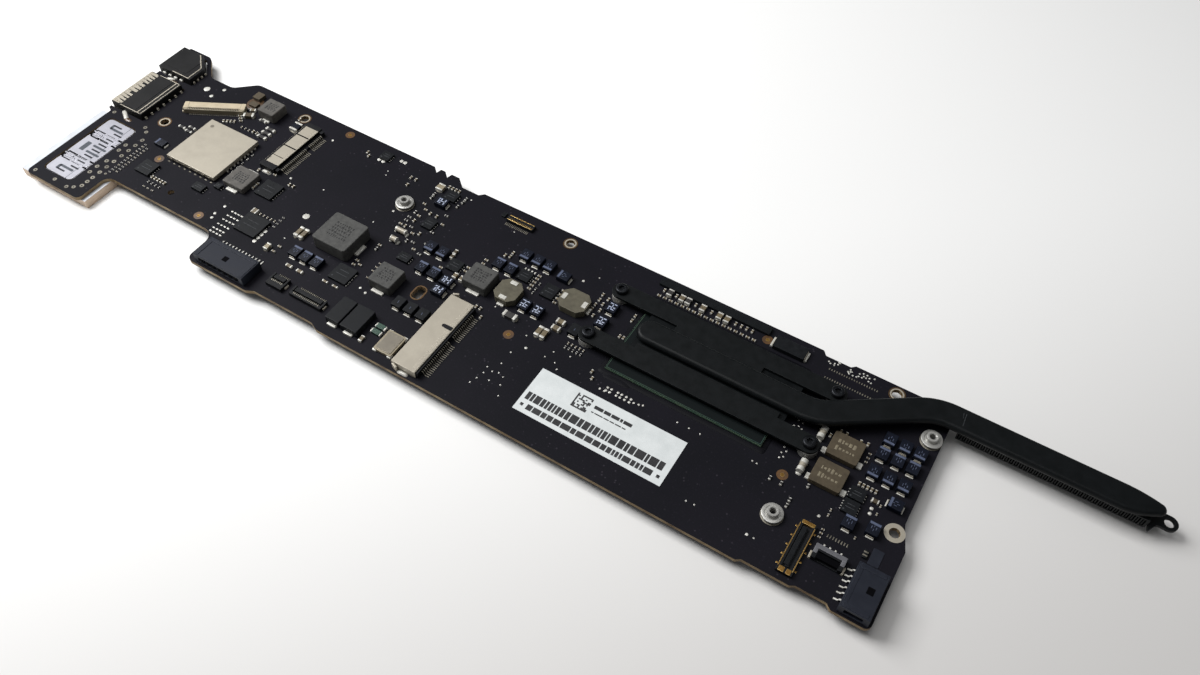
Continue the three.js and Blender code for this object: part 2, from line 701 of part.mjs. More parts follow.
// A long, low socket turned on the board, with its mouth along the far side.
function displayConnector() {
  const { x, y, length, width, top, mouthDepth } = DISPLAY_CONNECTOR;
  const centred = edgesOf({ x: 0, y: 0, length, width });
  const innerRear = centred.rear - mouthDepth;
  const mouth = { ...inset(centred, SHEET * 2), front: innerRear, rear: centred.rear + OVERSHOOT };
  const rim = SHEET;
  const body = block(centred, 0, top).subtract(block(mouth, rim, top - rim));
  return body.rotate([0, 0, DISPLAY_CONNECTOR_TURN]).translate([x, y, 0]);
}

// An edge-card socket whose mouth faces right: a plastic body with a slot along its length.
function edgeCardBody(connector) {
  const { right, front, rear, top } = connector;
  const under = inset(connector, SHEET + CONTACT_GAP);
  const mouth = {
    left: right - CARD_MOUTH.depth,
    right: right + OVERSHOOT,
    front: front + CARD_MOUTH.endWall,
    rear: rear - CARD_MOUTH.endWall,
  };
  const body = block({ ...under, right }, 0, top - SHEET - CONTACT_GAP);
  return body.subtract(block(mouth, CARD_MOUTH.bottom, CARD_MOUTH.top));
}

// The metal cover of an edge-card socket: a roof with walls at the left and at both ends.
function edgeCardShell(connector) {
  const { shellRight, top } = connector;
  const cover = { ...connector, right: shellRight };
  const hollow = { ...inset(connector, SHEET), right: shellRight + OVERSHOOT };
  return block(cover, 0, top).subtract(block(hollow, -OVERSHOOT, top - SHEET));
}

addPiece("display_connector", displayConnector(), "creamPlastic");
addPiece("wireless_connector_body", edgeCardBody(WIRELESS_CONNECTOR), "blackPlastic");
addPiece("wireless_connector_shell", edgeCardShell(WIRELESS_CONNECTOR), "tinnedSteel");
addPiece("drive_connector_body", edgeCardBody(DRIVE_CONNECTOR), "blackPlastic");
addPiece("drive_connector_shell", edgeCardShell(DRIVE_CONNECTOR), "tinnedSteel");

// A block-shaped power socket whose mouth faces the board's front edge.
function powerSocket(socket) {
  const { left, right, front, top } = socket;
  const mouth = {
    left: left + PLUG_MOUTH.endWall,
    right: right - PLUG_MOUTH.endWall,
    front: front - OVERSHOOT,
    rear: front + PLUG_MOUTH.depth,
  };
  return block(socket, 0, top).subtract(block(mouth, PLUG_MOUTH.bottom, PLUG_MOUTH.top));
}

// A U-shaped housing, open at the front.
function fanConnector() {
  const { left, right, front, rear, top } = FAN_CONNECTOR;
  const { cheek, back } = FAN_CONNECTOR_WALLS;
  const mouth = { left: left + cheek, right: right - cheek, front: front - OVERSHOOT, rear: rear - back };
  return block(FAN_CONNECTOR, 0, top).subtract(block(mouth, SHEET, top + OVERSHOOT));
}

// A mezzanine socket: a low tub with a raised blade along its middle.
function flexConnector() {
  const { left, right, top } = FLEX_CONNECTOR;
  const { rim, floor } = FLEX_CONNECTOR_WALLS;
  const middle = (left + right) / 2;
  const pocket = inset(FLEX_CONNECTOR, rim);
  const bladeHalf = rim / 2;
  const blade = { ...inset(FLEX_CONNECTOR, 2 * rim), left: middle - bladeHalf, right: middle + bladeHalf };
  return block(FLEX_CONNECTOR, 0, top)
    .subtract(block(pocket, floor, top + OVERSHOOT))
    .add(block(blade, floor - CONTACT_GAP, top - 2 * CONTACT_GAP));
}

addPiece("battery_connector", powerSocket(BATTERY_CONNECTOR), "slatePlastic");
addPiece("board_power_connector", powerSocket(POWER_CONNECTOR), "slatePlastic");
addPiece("fan_connector", fanConnector(), "greyPlastic");
addPiece("flex_connector", flexConnector(), "gold");

// A flat-cable socket: a body with a shelf behind, where its flip-up latch lies.
function cableSocketBase(socket) {
  const { left, right, rear, height } = socket;
  const { thickness, depth, endGap, clearance } = LATCH;
  const shelf = {
    left: left + endGap,
    right: right - endGap,
    front: rear - clearance - depth - clearance,
    rear: rear + OVERSHOOT,
  };
  return block(socket, 0, height).subtract(block(shelf, height - thickness - clearance, height + OVERSHOOT));
}

// The latch turns up about its rear edge, which lies over the middle of its shelf.
function cableSocketLatch(socket) {
  const { left, right, rear, height } = socket;
  const { thickness, depth, endGap, clearance, lip } = LATCH;
  const flap = {
    left: left + endGap + clearance,
    right: right - endGap - clearance,
    front: rear - clearance - depth,
    rear: rear - clearance,
  };
  return block(flap, height - thickness + lip, height + lip);
}

for (const [name, socket] of [
  ["trackpad_connector", TRACKPAD_CONNECTOR],
  ["backlight_connector", BACKLIGHT_CONNECTOR],
]) {
  addPiece(`${name}_base`, cableSocketBase(socket), "chipPlastic");
  addPiece(`${name}_latch`, cableSocketLatch(socket), "greyPlastic");
}

// --- Shielded controller ---------------------------------------------------------------------

function shieldFence() {
  const outside = edgesOf(SHIELD, -SHEET - FREE_GAP);
  const height = SHIELD.top - SHEET - CONTACT_GAP;
  return block(outside, 0, height).subtract(block(inset(outside, SHEET), -OVERSHOOT, height + OVERSHOOT));
}

function shieldLid() {
  const outside = edgesOf(SHIELD);
  const hollow = block(inset(outside, SHEET), SHIELD.skirtBottom - OVERSHOOT, SHIELD.top - SHEET);
  return block(outside, SHIELD.skirtBottom, SHIELD.top).subtract(hollow);
}

const chipSize = CONTROLLER_CHIP.size;
const chipEdges = edgesOf({ x: SHIELD.x, y: SHIELD.y, length: chipSize, width: chipSize });
addPiece("controller_shield_fence", shieldFence(), "tinnedSteel");
addPiece("controller_shield_lid", shieldLid(), "tinnedSteel");
addPiece("controller_chip", block(chipEdges, 0, CONTROLLER_CHIP.top), "chipPlastic");

// --- Coils, memory, sticker and foam ---------------------------------------------------------

function coil(part) {
  return block(edgesOf(part), 0, part.top);
}

addPiece("power_inductor", coil(POWER_INDUCTOR), "greyFerrite");
COILS.forEach((part, index) => {
  addPiece(`coil_${index + 1}`, coil(part), FERRITES[part.tone]);
});
addPiece("rear_choke", coil(REAR_CHOKE), "chipPlastic");

MEMORY.xs.forEach((x, index) => {
  const chip = edgesOf({ x, y: MEMORY.y, length: MEMORY.length, width: MEMORY.width });
  const top = -BOARD_THICKNESS;
  addPiece(`memory_chip_${index + 1}`, block(chip, top - MEMORY.thickness, top), "chipPlastic");
});

addPiece("sticker", block(edgesOf(STICKER), 0, STICKER.thickness), "paper");
addPiece("foam_strip", block(edgesOf(FOAM_STRIP), 0, FOAM_STRIP.thickness), "foam");

export default assembly;
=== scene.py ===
import math
import random
from types import SimpleNamespace

import bmesh
import bpy
from mathutils import Matrix, Vector


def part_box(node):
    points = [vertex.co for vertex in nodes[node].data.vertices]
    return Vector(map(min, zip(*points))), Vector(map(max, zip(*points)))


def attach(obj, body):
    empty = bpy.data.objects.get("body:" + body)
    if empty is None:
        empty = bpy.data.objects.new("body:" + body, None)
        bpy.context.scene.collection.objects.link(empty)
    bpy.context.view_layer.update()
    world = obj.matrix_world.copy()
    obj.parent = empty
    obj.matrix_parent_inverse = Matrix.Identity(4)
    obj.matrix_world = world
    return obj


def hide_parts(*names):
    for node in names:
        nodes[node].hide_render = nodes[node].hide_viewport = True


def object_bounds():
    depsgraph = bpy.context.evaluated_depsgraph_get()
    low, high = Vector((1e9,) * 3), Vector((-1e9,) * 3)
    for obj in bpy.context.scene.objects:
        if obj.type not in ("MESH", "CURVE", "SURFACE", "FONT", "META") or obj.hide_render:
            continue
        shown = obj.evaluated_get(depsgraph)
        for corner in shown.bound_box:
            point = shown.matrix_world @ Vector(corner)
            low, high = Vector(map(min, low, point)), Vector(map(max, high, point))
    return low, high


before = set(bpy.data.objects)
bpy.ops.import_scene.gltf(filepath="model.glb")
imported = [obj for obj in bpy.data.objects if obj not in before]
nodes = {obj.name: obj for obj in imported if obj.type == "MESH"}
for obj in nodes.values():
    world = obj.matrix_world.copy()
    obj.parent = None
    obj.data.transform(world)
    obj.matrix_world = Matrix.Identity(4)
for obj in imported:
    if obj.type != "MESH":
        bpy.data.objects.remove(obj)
cad_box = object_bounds()
scene = bpy.context.scene
random.seed(7)

# All lengths below are millimetres. Heights are measured from the component face, the board's
# upper side, and x and y are the row frame's own.
MM = 0.001
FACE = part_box("sticker")[0].z / MM
THICKNESS = FACE  # the row frame's origin is on the underside


# --- Places ---------------------------------------------------------------------------------

def span(node):
    """A CAD node's box, with its centre and size."""
    low, high = (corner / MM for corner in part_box(node))
    return SimpleNamespace(
        left=low.x, right=high.x, front=low.y, rear=high.y, bottom=low.z - FACE, top=high.z - FACE,
        x=(low.x + high.x) / 2, y=(low.y + high.y) / 2, length=high.x - low.x, width=high.y - low.y,
    )


def local(x, y, turn):
    """Turns distances along and across a part at (x, y), turned by `turn` degrees, into places."""
    cosine, sine = math.cos(math.radians(turn)), math.sin(math.radians(turn))
    return lambda along, across=0.0: (x + along * cosine - across * sine, y + along * sine + across * cosine)


def row(x, y, step_x, step_y, count):
    """Evenly spaced places, starting at (x, y)."""
    return [(x + i * step_x, y + i * step_y) for i in range(count)]


# --- Materials ------------------------------------------------------------------------------

def tone(red, green, blue):
    """An sRGB colour in 0 to 255 as the linear colour that shader nodes take."""
    def linear(value):
        share = value / 255
        return share / 12.92 if share <= 0.04045 else ((share + 0.055) / 1.055) ** 2.4
    return (linear(red), linear(green), linear(blue), 1.0)


EDGE_WEAR_AND_HIGHLIGHT = 0.12  # width of the pale line along an edge: painted highlight, partly wear


class Shader:
    """A node tree that ends in one Principled surface. Texture coordinates are millimetres."""

    def __init__(self, name):
        self.material = bpy.data.materials.new(name)
        self.material.use_nodes = True
        self.tree = self.material.node_tree
        self.tree.nodes.clear()
        output = self.tree.nodes.new("ShaderNodeOutputMaterial")
        self.surface = self.tree.nodes.new("ShaderNodeBsdfPrincipled")
        self.tree.links.new(self.surface.outputs[0], output.inputs["Surface"])
        position = self.add("TexCoord").outputs["Object"]
        inputs = {0: position, 1: (1 / MM,) * 3}
        self.place = self.add("VectorMath", inputs, operation="MULTIPLY").outputs[0]

    def add(self, kind, inputs=None, **settings):
        node = self.tree.nodes.new("ShaderNode" + kind)
        for key, value in settings.items():
            setattr(node, key, value)
        for key, value in (inputs or {}).items():
            self.feed(node.inputs[key], value)
        return node

    def feed(self, socket, value):
        if isinstance(value, bpy.types.NodeSocket):
            self.tree.links.new(value, socket)
        else:
            socket.default_value = value

    def set(self, **values):
        for key, value in values.items():
            self.feed(self.surface.inputs[key.replace("_", " ")], value)

    def math(self, operation, first, second=0.0):
        node = self.add("Math", {0: first, 1: second}, operation=operation)
        node.use_clamp = operation == "SUBTRACT"
        return node.outputs[0]

    def noise(self, size, detail=3.0, roughness=0.55):
        """Fractal noise, 0 to 1, whose blobs are about `size` millimetres across."""
        inputs = {"Vector": self.place, "Scale": 1 / size, "Detail": detail, "Roughness": roughness}
        return self.add("TexNoise", inputs).outputs["Fac"]

    def ramp(self, value, low, high, start=0.0, end=1.0):
        inputs = {"Value": value, "From Min": low, "From Max": high, "To Min": start, "To Max": end}
        return self.add("MapRange", inputs).outputs["Result"]

    def mix(self, share, first, second):
        node = self.add("Mix", data_type="RGBA")
        self.feed(node.inputs["Factor"], share)
        self.feed(node.inputs["A"], first)
        self.feed(node.inputs["B"], second)
        return next(socket for socket in node.outputs if socket.type == "RGBA")

    def bump(self, height, strength, distance):
        inputs = {"Height": height, "Strength": strength, "Distance": distance * MM}
        return self.add("Bump", inputs).outputs[0]

    def edges(self):
        """1 on sharp edges, 0 on flats."""
        rounded = self.add("Bevel", {"Radius": EDGE_WEAR_AND_HIGHLIGHT * MM}, samples=4).outputs[0]
        true = self.add("NewGeometry").outputs["Normal"]
        alike = self.add("VectorMath", {0: rounded, 1: true}, operation="DOT_PRODUCT").outputs["Value"]
        return self.ramp(alike, 0.995, 0.9)


GLOSS_SWING = 0.06  # how far a finish's roughness strays from its middle value


def finish(name, colour, other, roughness, metallic=0.0, grain=0.6, relief=0.25, depth=0.02,
           edge_wear_and_highlight=None, coat=0.0, specular=0.5):
    """A surface of two mixed tones, with uneven gloss, fine relief and, if a pale edge tone is given, paler
    edges: a painted highlight along sharp edges, partly wear.
    """
    shader = Shader(name)
    colour, other = tone(*colour), tone(*other)
    blotch = shader.noise(grain * 6, detail=4)
    fine = shader.noise(grain, detail=5, roughness=0.65)
    base = shader.mix(shader.ramp(blotch, 0.35, 0.68), colour, other)
    base = shader.mix(shader.ramp(fine, 0.3, 0.75, 0.0, 0.35), base, other)
    if edge_wear_and_highlight is not None:
        # paler edges: painted highlight on every sharp edge, partly wear
        base = shader.mix(shader.math("MULTIPLY", shader.edges(), 0.7), base, tone(*edge_wear_and_highlight))
    gloss = shader.ramp(blotch, 0.3, 0.7, roughness - GLOSS_SWING, roughness + GLOSS_SWING)
    shader.set(Base_Color=base, Roughness=gloss, Metallic=metallic, Normal=shader.bump(fine, relief, depth))
    shader.set(Coat_Weight=coat, Coat_Roughness=0.25, Specular_IOR_Level=specular)
    return shader.material


def solder_mask_material():
    """Black solder mask on the faces, tan laminate on the cut edges, tinned lands where the board stands
    proud."""
    shader = Shader("solder_mask")
    geometry = shader.add("NewGeometry")
    upright = shader.add("SeparateXYZ", {0: geometry.outputs["True Normal"]}).outputs["Z"]
    height = shader.add("SeparateXYZ", {0: shader.place}).outputs["Z"]
    middle = FACE - THICKNESS / 2
    from_middle = shader.math("ABSOLUTE", shader.math("ADD", height, -middle))
    on_land = shader.math("GREATER_THAN", from_middle, THICKNESS / 2 + 0.02)
    on_edge = shader.math("LESS_THAN", shader.math("ABSOLUTE", upright), 0.5)

    cloud = shader.noise(26, detail=3)
    speck = shader.noise(0.5, detail=2)
    mask = shader.mix(shader.ramp(cloud, 0.35, 0.65), tone(26, 25, 31), tone(22, 22, 27))
    mask = shader.mix(shader.ramp(speck, 0.6, 0.8, 0.0, 0.35), mask, tone(52, 48, 58))
    # copper tracks and filled vias show through the mask as faint relief
    tracks = shader.add("TexBrick", {"Vector": shader.place, "Scale": 0.35, "Mortar Size": 0.035})
    vias = shader.add("TexVoronoi", {"Vector": shader.place, "Scale": 0.62})
    via = shader.math("LESS_THAN", vias.outputs["Distance"], 0.13)
    crowded = shader.ramp(shader.noise(15, detail=2), 0.5, 0.56)
    via = shader.math("MULTIPLY", via, crowded)
    mask = shader.mix(shader.math("MULTIPLY", via, 0.45), mask, tone(66, 62, 70))

    layers = shader.add("TexWave", {"Vector": shader.place, "Scale": 1.6, "Distortion": 1.2},
                        bands_direction="Z").outputs["Fac"]
    laminate = shader.mix(layers, tone(122, 101, 74), tone(70, 58, 46))
    laminate = shader.mix(shader.ramp(shader.noise(5), 0.35, 0.7), laminate, tone(150, 132, 102))
    tin = shader.mix(shader.ramp(shader.noise(0.9), 0.4, 0.7), tone(196, 176, 142), tone(150, 122, 84))
    base = shader.mix(on_edge, mask, laminate)
    base = shader.mix(on_land, base, tin)
    gloss = shader.ramp(cloud, 0.3, 0.7, 0.42, 0.52)
    relief = shader.math("ADD", shader.math("MULTIPLY", tracks.outputs["Fac"], 0.6), shader.noise(0.7))
    shader.set(Base_Color=base, Metallic=on_land, Roughness=gloss, Specular_IOR_Level=0.06)
    shader.set(Normal=shader.bump(shader.math("ADD", relief, via), 0.22, 0.015))
    return shader.material


def package_material():
    """Dark-topped laminate whose cut sides show its green glass-fibre core."""
    shader = Shader("package_laminate")
    normal = shader.add("NewGeometry").outputs["True Normal"]
    upright = shader.math("ABSOLUTE", shader.add("SeparateXYZ", {0: normal}).outputs["Z"])
    side = shader.math("LESS_THAN", upright, 0.8)
    top = shader.mix(shader.noise(9), tone(14, 19, 20), tone(20, 25, 26))
    core = shader.mix(shader.noise(2.5), tone(122, 140, 112), tone(64, 104, 92))
    shader.set(Base_Color=shader.mix(side, top, core), Roughness=0.45, Specular_IOR_Level=0.1)
    shader.set(Normal=shader.bump(shader.noise(0.4), 0.15, 0.01))
    return shader.material


def card_slot_frame_material():
    """Silver foil on the faces that look up, bare salmon plastic on the sides."""
    shader = Shader("card_slot_frame")
    roof, side = tone(200, 205, 212), tone(204, 180, 156)
    normal = shader.add("NewGeometry").outputs["True Normal"]
    upright = shader.add("SeparateXYZ", {0: normal}).outputs["Z"]
    cloud = shader.noise(4)
    base = shader.mix(shader.math("GREATER_THAN", upright, 0.6), side, roof)
    base = shader.mix(shader.ramp(cloud, 0.4, 0.7, 0.0, 0.25), base, tone(150, 140, 128))
    shader.set(Base_Color=base, Roughness=shader.ramp(cloud, 0.3, 0.7, 0.4, 0.5), Metallic=0.1)
    shader.set(Normal=shader.bump(shader.noise(0.6), 0.3, 0.02))
    return shader.material


# each finish: two tones, roughness, and what else `finish` takes
FINISHES = {
    "black_paint": ((10, 13, 14), (13, 16, 18), 0.46,
        dict(grain=0.35, relief=0.4, edge_wear_and_highlight=(30, 34, 37), specular=0.18)),
    "black_oxide_plate": ((11, 14, 16), (16, 19, 21), 0.42,
        dict(metallic=0.3, grain=0.5, edge_wear_and_highlight=(40, 44, 46), specular=0.18)),
    "black_screw": ((22, 24, 27), (36, 38, 42), 0.38, dict(metallic=0.75, grain=0.25, edge_wear_and_highlight=(96, 100, 106))),
    "silicon": ((88, 92, 104), (66, 70, 84), 0.16, dict(metallic=0.85, grain=2.0, relief=0.05)),
    "tinned_steel": ((172, 165, 150), (158, 151, 137), 0.44,
        dict(metallic=0.2, grain=0.8, relief=0.3, edge_wear_and_highlight=(206, 200, 186))),
    "cover_plate": ((168, 168, 177), (150, 150, 158), 0.42,
        dict(metallic=0.25, grain=1.0, relief=0.3, edge_wear_and_highlight=(200, 200, 206))),
    "nickel": ((190, 189, 184), (160, 159, 155), 0.34,
        dict(metallic=0.5, grain=0.4, relief=0.25, edge_wear_and_highlight=(250, 250, 248))),
    "solder": ((218, 217, 210), (176, 174, 166), 0.42,
        dict(metallic=0.15, grain=0.3, relief=0.5, depth=0.04)),
    "gold": ((168, 130, 64), (122, 88, 40), 0.30, dict(metallic=0.7, grain=0.3, edge_wear_and_highlight=(250, 222, 150))),
    "brass_ring": ((124, 100, 72), (88, 66, 46), 0.36, dict(metallic=0.8, grain=0.5, relief=0.4)),
    "bare_laminate": ((112, 78, 40), (70, 50, 32), 0.32, dict(grain=0.4, coat=0.4)),
    "black_plastic": ((17, 18, 20), (24, 25, 28), 0.52,
        dict(grain=0.3, relief=0.4, edge_wear_and_highlight=(42, 44, 47), specular=0.15)),
    "chip_plastic": ((16, 18, 21), (23, 25, 28), 0.5,
        dict(grain=0.2, relief=0.5, edge_wear_and_highlight=(40, 42, 46), specular=0.15)),
    "chip_marking": ((52, 54, 57), (64, 66, 69), 0.6, dict(grain=0.3, specular=0.15)),
    "capacitor_blue": ((10, 14, 25), (15, 20, 33), 0.42,
        dict(grain=0.3, relief=0.35, edge_wear_and_highlight=(26, 33, 50), specular=0.2)),
    "capacitor_stripe": ((92, 100, 122), (74, 82, 104), 0.5, dict(grain=0.4, specular=0.25)),
    "capacitor_print": ((180, 188, 206), (150, 160, 184), 0.5, dict(grain=0.4, specular=0.25)),
    "ceramic": ((120, 108, 84), (92, 82, 64), 0.4, dict(grain=0.3, relief=0.3)),
    "ceramic_dark": ((38, 37, 38), (52, 49, 47), 0.42, dict(grain=0.3, relief=0.3)),
    "ceramic_green": ((24, 58, 44), (32, 70, 54), 0.4, dict(grain=0.4)),
    "slate_plastic": ((30, 33, 42), (36, 39, 48), 0.5,
        dict(grain=0.4, relief=0.35, edge_wear_and_highlight=(62, 67, 78), specular=0.15)),
    "cream_plastic": ((150, 140, 118), (130, 120, 99), 0.42,
        dict(grain=0.4, metallic=0.1, edge_wear_and_highlight=(184, 174, 150))),
    "ivory_plastic": ((196, 182, 156), (178, 164, 138), 0.4, dict(grain=0.4, edge_wear_and_highlight=(214, 204, 182))),
    "grey_plastic": ((104, 104, 108), (90, 90, 95), 0.48,
        dict(grain=0.4, edge_wear_and_highlight=(150, 150, 154), specular=0.25)),
    "grey_ferrite": ((82, 82, 80), (68, 68, 67), 0.62,
        dict(grain=0.22, relief=0.7, depth=0.04, edge_wear_and_highlight=(108, 107, 104), specular=0.2)),
    "pale_ferrite": ((98, 95, 91), (82, 80, 77), 0.62,
        dict(grain=0.22, relief=0.7, depth=0.04, edge_wear_and_highlight=(132, 129, 124), specular=0.2)),
    "can_steel": ((122, 115, 102), (108, 102, 91), 0.45,
        dict(metallic=0.3, grain=0.6, relief=0.3, edge_wear_and_highlight=(176, 168, 150))),
    "test_land": ((136, 131, 118), (92, 88, 78), 0.45,
        dict(metallic=0.3, grain=0.3, relief=0.5, depth=0.03)),
    # painted shade for the card slot plate: recesses and folds, and darker for its windows
    "plate_recess_shade": ((84, 88, 95), (74, 78, 85), 0.6, dict(grain=0.5, specular=0.2)),
    "plate_slot_shade": ((34, 36, 42), (44, 46, 52), 0.6, dict(grain=0.5, specular=0.2)),
    "salmon_plastic": ((206, 180, 156), (188, 162, 138), 0.5, dict(grain=0.5, edge_wear_and_highlight=(226, 204, 182))),
    "laminate_line": ((74, 92, 70), (44, 70, 64), 0.45, dict(grain=9.0, specular=0.2)),
    "sand_ferrite": ((98, 94, 80), (82, 78, 66), 0.5,
        dict(grain=0.22, relief=0.6, depth=0.03, edge_wear_and_highlight=(132, 128, 112), specular=0.25)),
    "tan_ferrite": ((84, 75, 60), (70, 62, 49), 0.52,
        dict(grain=0.25, relief=0.6, depth=0.03, edge_wear_and_highlight=(114, 102, 84), specular=0.25)),
    "ferrite_print": ((128, 119, 98), (116, 107, 88), 0.6, dict(grain=0.3)),
    "grey_print": ((22, 22, 22), (18, 18, 18), 0.6, dict(grain=0.3)),
    "paper": ((222, 226, 226), (208, 213, 213), 0.42, dict(grain=0.5, relief=0.15, coat=0.3)),
    "ink": ((24, 24, 27), (34, 34, 37), 0.42, dict(grain=0.5, coat=0.3)),
    "foam": ((18, 20, 22), (26, 28, 30), 0.85, dict(grain=0.3, relief=0.9, depth=0.12, specular=0.1)),
    "tape": ((21, 21, 22), (28, 28, 29), 0.5, dict(grain=0.7, relief=0.5, depth=0.04, specular=0.15)),
    "resin": ((13, 13, 17), (18, 18, 23), 0.5, dict(grain=1.2, relief=0.3, specular=0.08)),
    "flux": ((96, 72, 48), (60, 46, 34), 0.3, dict(grain=0.6, relief=0.7, coat=0.6)),
    # near-black painted shade, laid over holes, slots, grooves and cavities
    "painted_hole_shade": ((4, 4, 6), (7, 7, 10), 0.8, dict(grain=0.4, specular=0.05)),
}
MATERIALS = {name: finish(name, *look, **more) for name, (*look, more) in FINISHES.items()}
MATERIALS["solder_mask"] = solder_mask_material()
MATERIALS["package_laminate"] = package_material()
MATERIALS["card_slot_frame"] = card_slot_frame_material()


# --- Geometry -------------------------------------------------------------------------------

EDGE_ANGLE = 35  # degrees; faces that meet at more than this keep a visible edge
RING_STEPS = 40  # sides of the rings round the screw holes


def outline(x, y, length, width, corner=0.0, turn=0.0, steps=3):
    """A rectangle with round corners, anticlockwise, turned about its centre by `turn` degrees."""
    corner = max(corner, 0.001)
    points = []
    for quarter, (sign_x, sign_y) in enumerate(((1, 1), (-1, 1), (-1, -1), (1, -1))):
        centre_x = sign_x * (length / 2 - corner)
        centre_y = sign_y * (width / 2 - corner)
        for step in range(steps + 1):
            angle = math.radians(90 * (quarter + step / steps))
            points.append((centre_x + corner * math.cos(angle), centre_y + corner * math.sin(angle)))
    cosine, sine = math.cos(math.radians(turn)), math.sin(math.radians(turn))
    return [(x + u * cosine - v * sine, y + u * sine + v * cosine) for u, v in points]


class Shells:
    """Closed shells that share one material and become one piece."""

    def __init__(self):
        self.points = []
        self.faces = []

    def loft(self, rings):
        """A capped shell through rings of equal length, from the lowest up."""
        start, count = len(self.points), len(rings[0])
        for ring in rings:
            self.points.extend(ring)
        self.faces.append([start + i for i in reversed(range(count))])
        for level in range(len(rings) - 1):
            below = start + level * count
            self.band(below, below + count, count)
        self.faces.append([start + (len(rings) - 1) * count + i for i in range(count)])

    def band(self, below, above, count):
        for i in range(count):
            after = (i + 1) % count
            self.faces.append([below + i, below + after, above + after, above + i])

    def block(self, x, y, length, width, bottom, top, edge=0.05, corner=0.06, turn=0.0, steps=3):
        """An upright rounded block whose top edge is rolled over by `edge`."""
        edge = min(edge, 0.45 * (top - bottom), 0.4 * min(length, width))
        corner = min(corner, 0.49 * min(length, width))
        rings = []
        for height, inset in ((bottom, 0), (top - edge, 0), (top - 0.3 * edge, 0.3 * edge), (top, edge)):
            size = length - 2 * inset, width - 2 * inset
            shape = outline(x, y, *size, max(corner - inset, 0.001), turn, steps)
            rings.append([(u, v, height) for u, v in shape])
        self.loft(rings)

    def relief(self, cad, x, y, length, width, sunk, raised, edge, corner, turn=0.0, steps=3):
        """A block let into the top of a CAD node: `sunk` below that top, `raised` above it."""
        self.block(x, y, length, width, cad.top - sunk, cad.top + raised, edge, corner, turn, steps)

    def disc(self, x, y, radius, bottom, top, edge, steps):
        levels = ((bottom, 0), (top - edge, 0), (top, edge))
        self.loft([circle(x, y, radius - inset, height, steps) for height, inset in levels])

    def turned(self, x, y, profile, steps=48):
        """A bored body of revolution, from (radius, height) points that run up the outside and down the
        bore."""
        start = len(self.points)
        for level, (radius, height) in enumerate(profile):
            self.points.extend(circle(x, y, radius, height, steps))
            above = (level + 1) % len(profile)
            self.band(start + level * steps, start + above * steps, steps)

    def ring(self, x, y, inner, outer, bottom, top):
        edge = 0.3 * (top - bottom)
        profile = [(outer, bottom), (outer, top - edge), (outer - edge, top), (inner + edge, top),
                   (inner, top - edge), (inner, bottom)]
        self.turned(x, y, profile, RING_STEPS)

    def rim(self, outer, inner, bottom, top):
        """A flat ring between two outlines with the same number of points."""
        start, count = len(self.points), len(outer)
        for loop, height in ((outer, bottom), (outer, top), (inner, top), (inner, bottom)):
            self.points.extend((x, y, height) for x, y in loop)
        for level in range(4):
            self.band(start + level * count, start + (level + 1) % 4 * count, count)

    def bead(self, x, y, length, width, height, turn=0.0):
        """A domed drop of solder or flux."""
        rings = []
        for share in (0.0, 0.5, 0.83, 0.98):
            size = math.sqrt(1 - share * share)
            shape = outline(x, y, length * size, width * size, 0.49 * min(length, width) * size, turn, 2)
            rings.append([(u, v, share * height) for u, v in shape])
        self.loft(rings)

    def sweep(self, path, half_width, low, high, turn_axis="Y"):
        """A flat strip of metal that follows (along, height) points, from `low` to `high` across."""
        lower, upper = [], []
        for index, (along, height) in enumerate(path):
            before = path[max(index - 1, 0)]
            after = path[min(index + 1, len(path) - 1)]
            slope = math.atan2(after[1] - before[1], after[0] - before[0])
            shift_u, shift_w = -math.sin(slope) * half_width, math.cos(slope) * half_width
            upper.append((along + shift_u, height + shift_w))
            lower.append((along - shift_u, height - shift_w))
        loop = lower + upper[::-1]
        if turn_axis == "Y":
            rings = [[(u, across, w) for u, w in loop] for across in (high, low)]
        else:
            rings = [[(across, u, w) for u, w in loop] for across in (low, high)]
        self.loft(rings)

    def piece(self, name, material, body="board", replaces=(), slot=None, smooth=EDGE_ANGLE):
        mesh = bpy.data.meshes.new(name)
        mesh.from_pydata([(x * MM, y * MM, (z + FACE) * MM) for x, y, z in self.points], [], self.faces)
        outward = bmesh.new()
        outward.from_mesh(mesh)
        bmesh.ops.recalc_face_normals(outward, faces=outward.faces)
        outward.to_mesh(mesh)
        outward.free()
        mesh.materials.append(MATERIALS[material])
        mesh.polygons.foreach_set("use_smooth", [True] * len(mesh.polygons))
        mesh.set_sharp_from_angle(angle=math.radians(smooth))
        mesh.update()
        piece = bpy.data.objects.new(name, mesh)
        piece.modifiers.new("even shading", "WEIGHTED_NORMAL").keep_sharp = True
        scene.collection.objects.link(piece)
        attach(piece, body)
        if replaces:
            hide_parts(*replaces)


def circle(x, y, radius, height, steps):
    angles = (math.tau * i / steps for i in range(steps))
    return [(x + radius * math.cos(a), y + radius * math.sin(a), height) for a in angles]


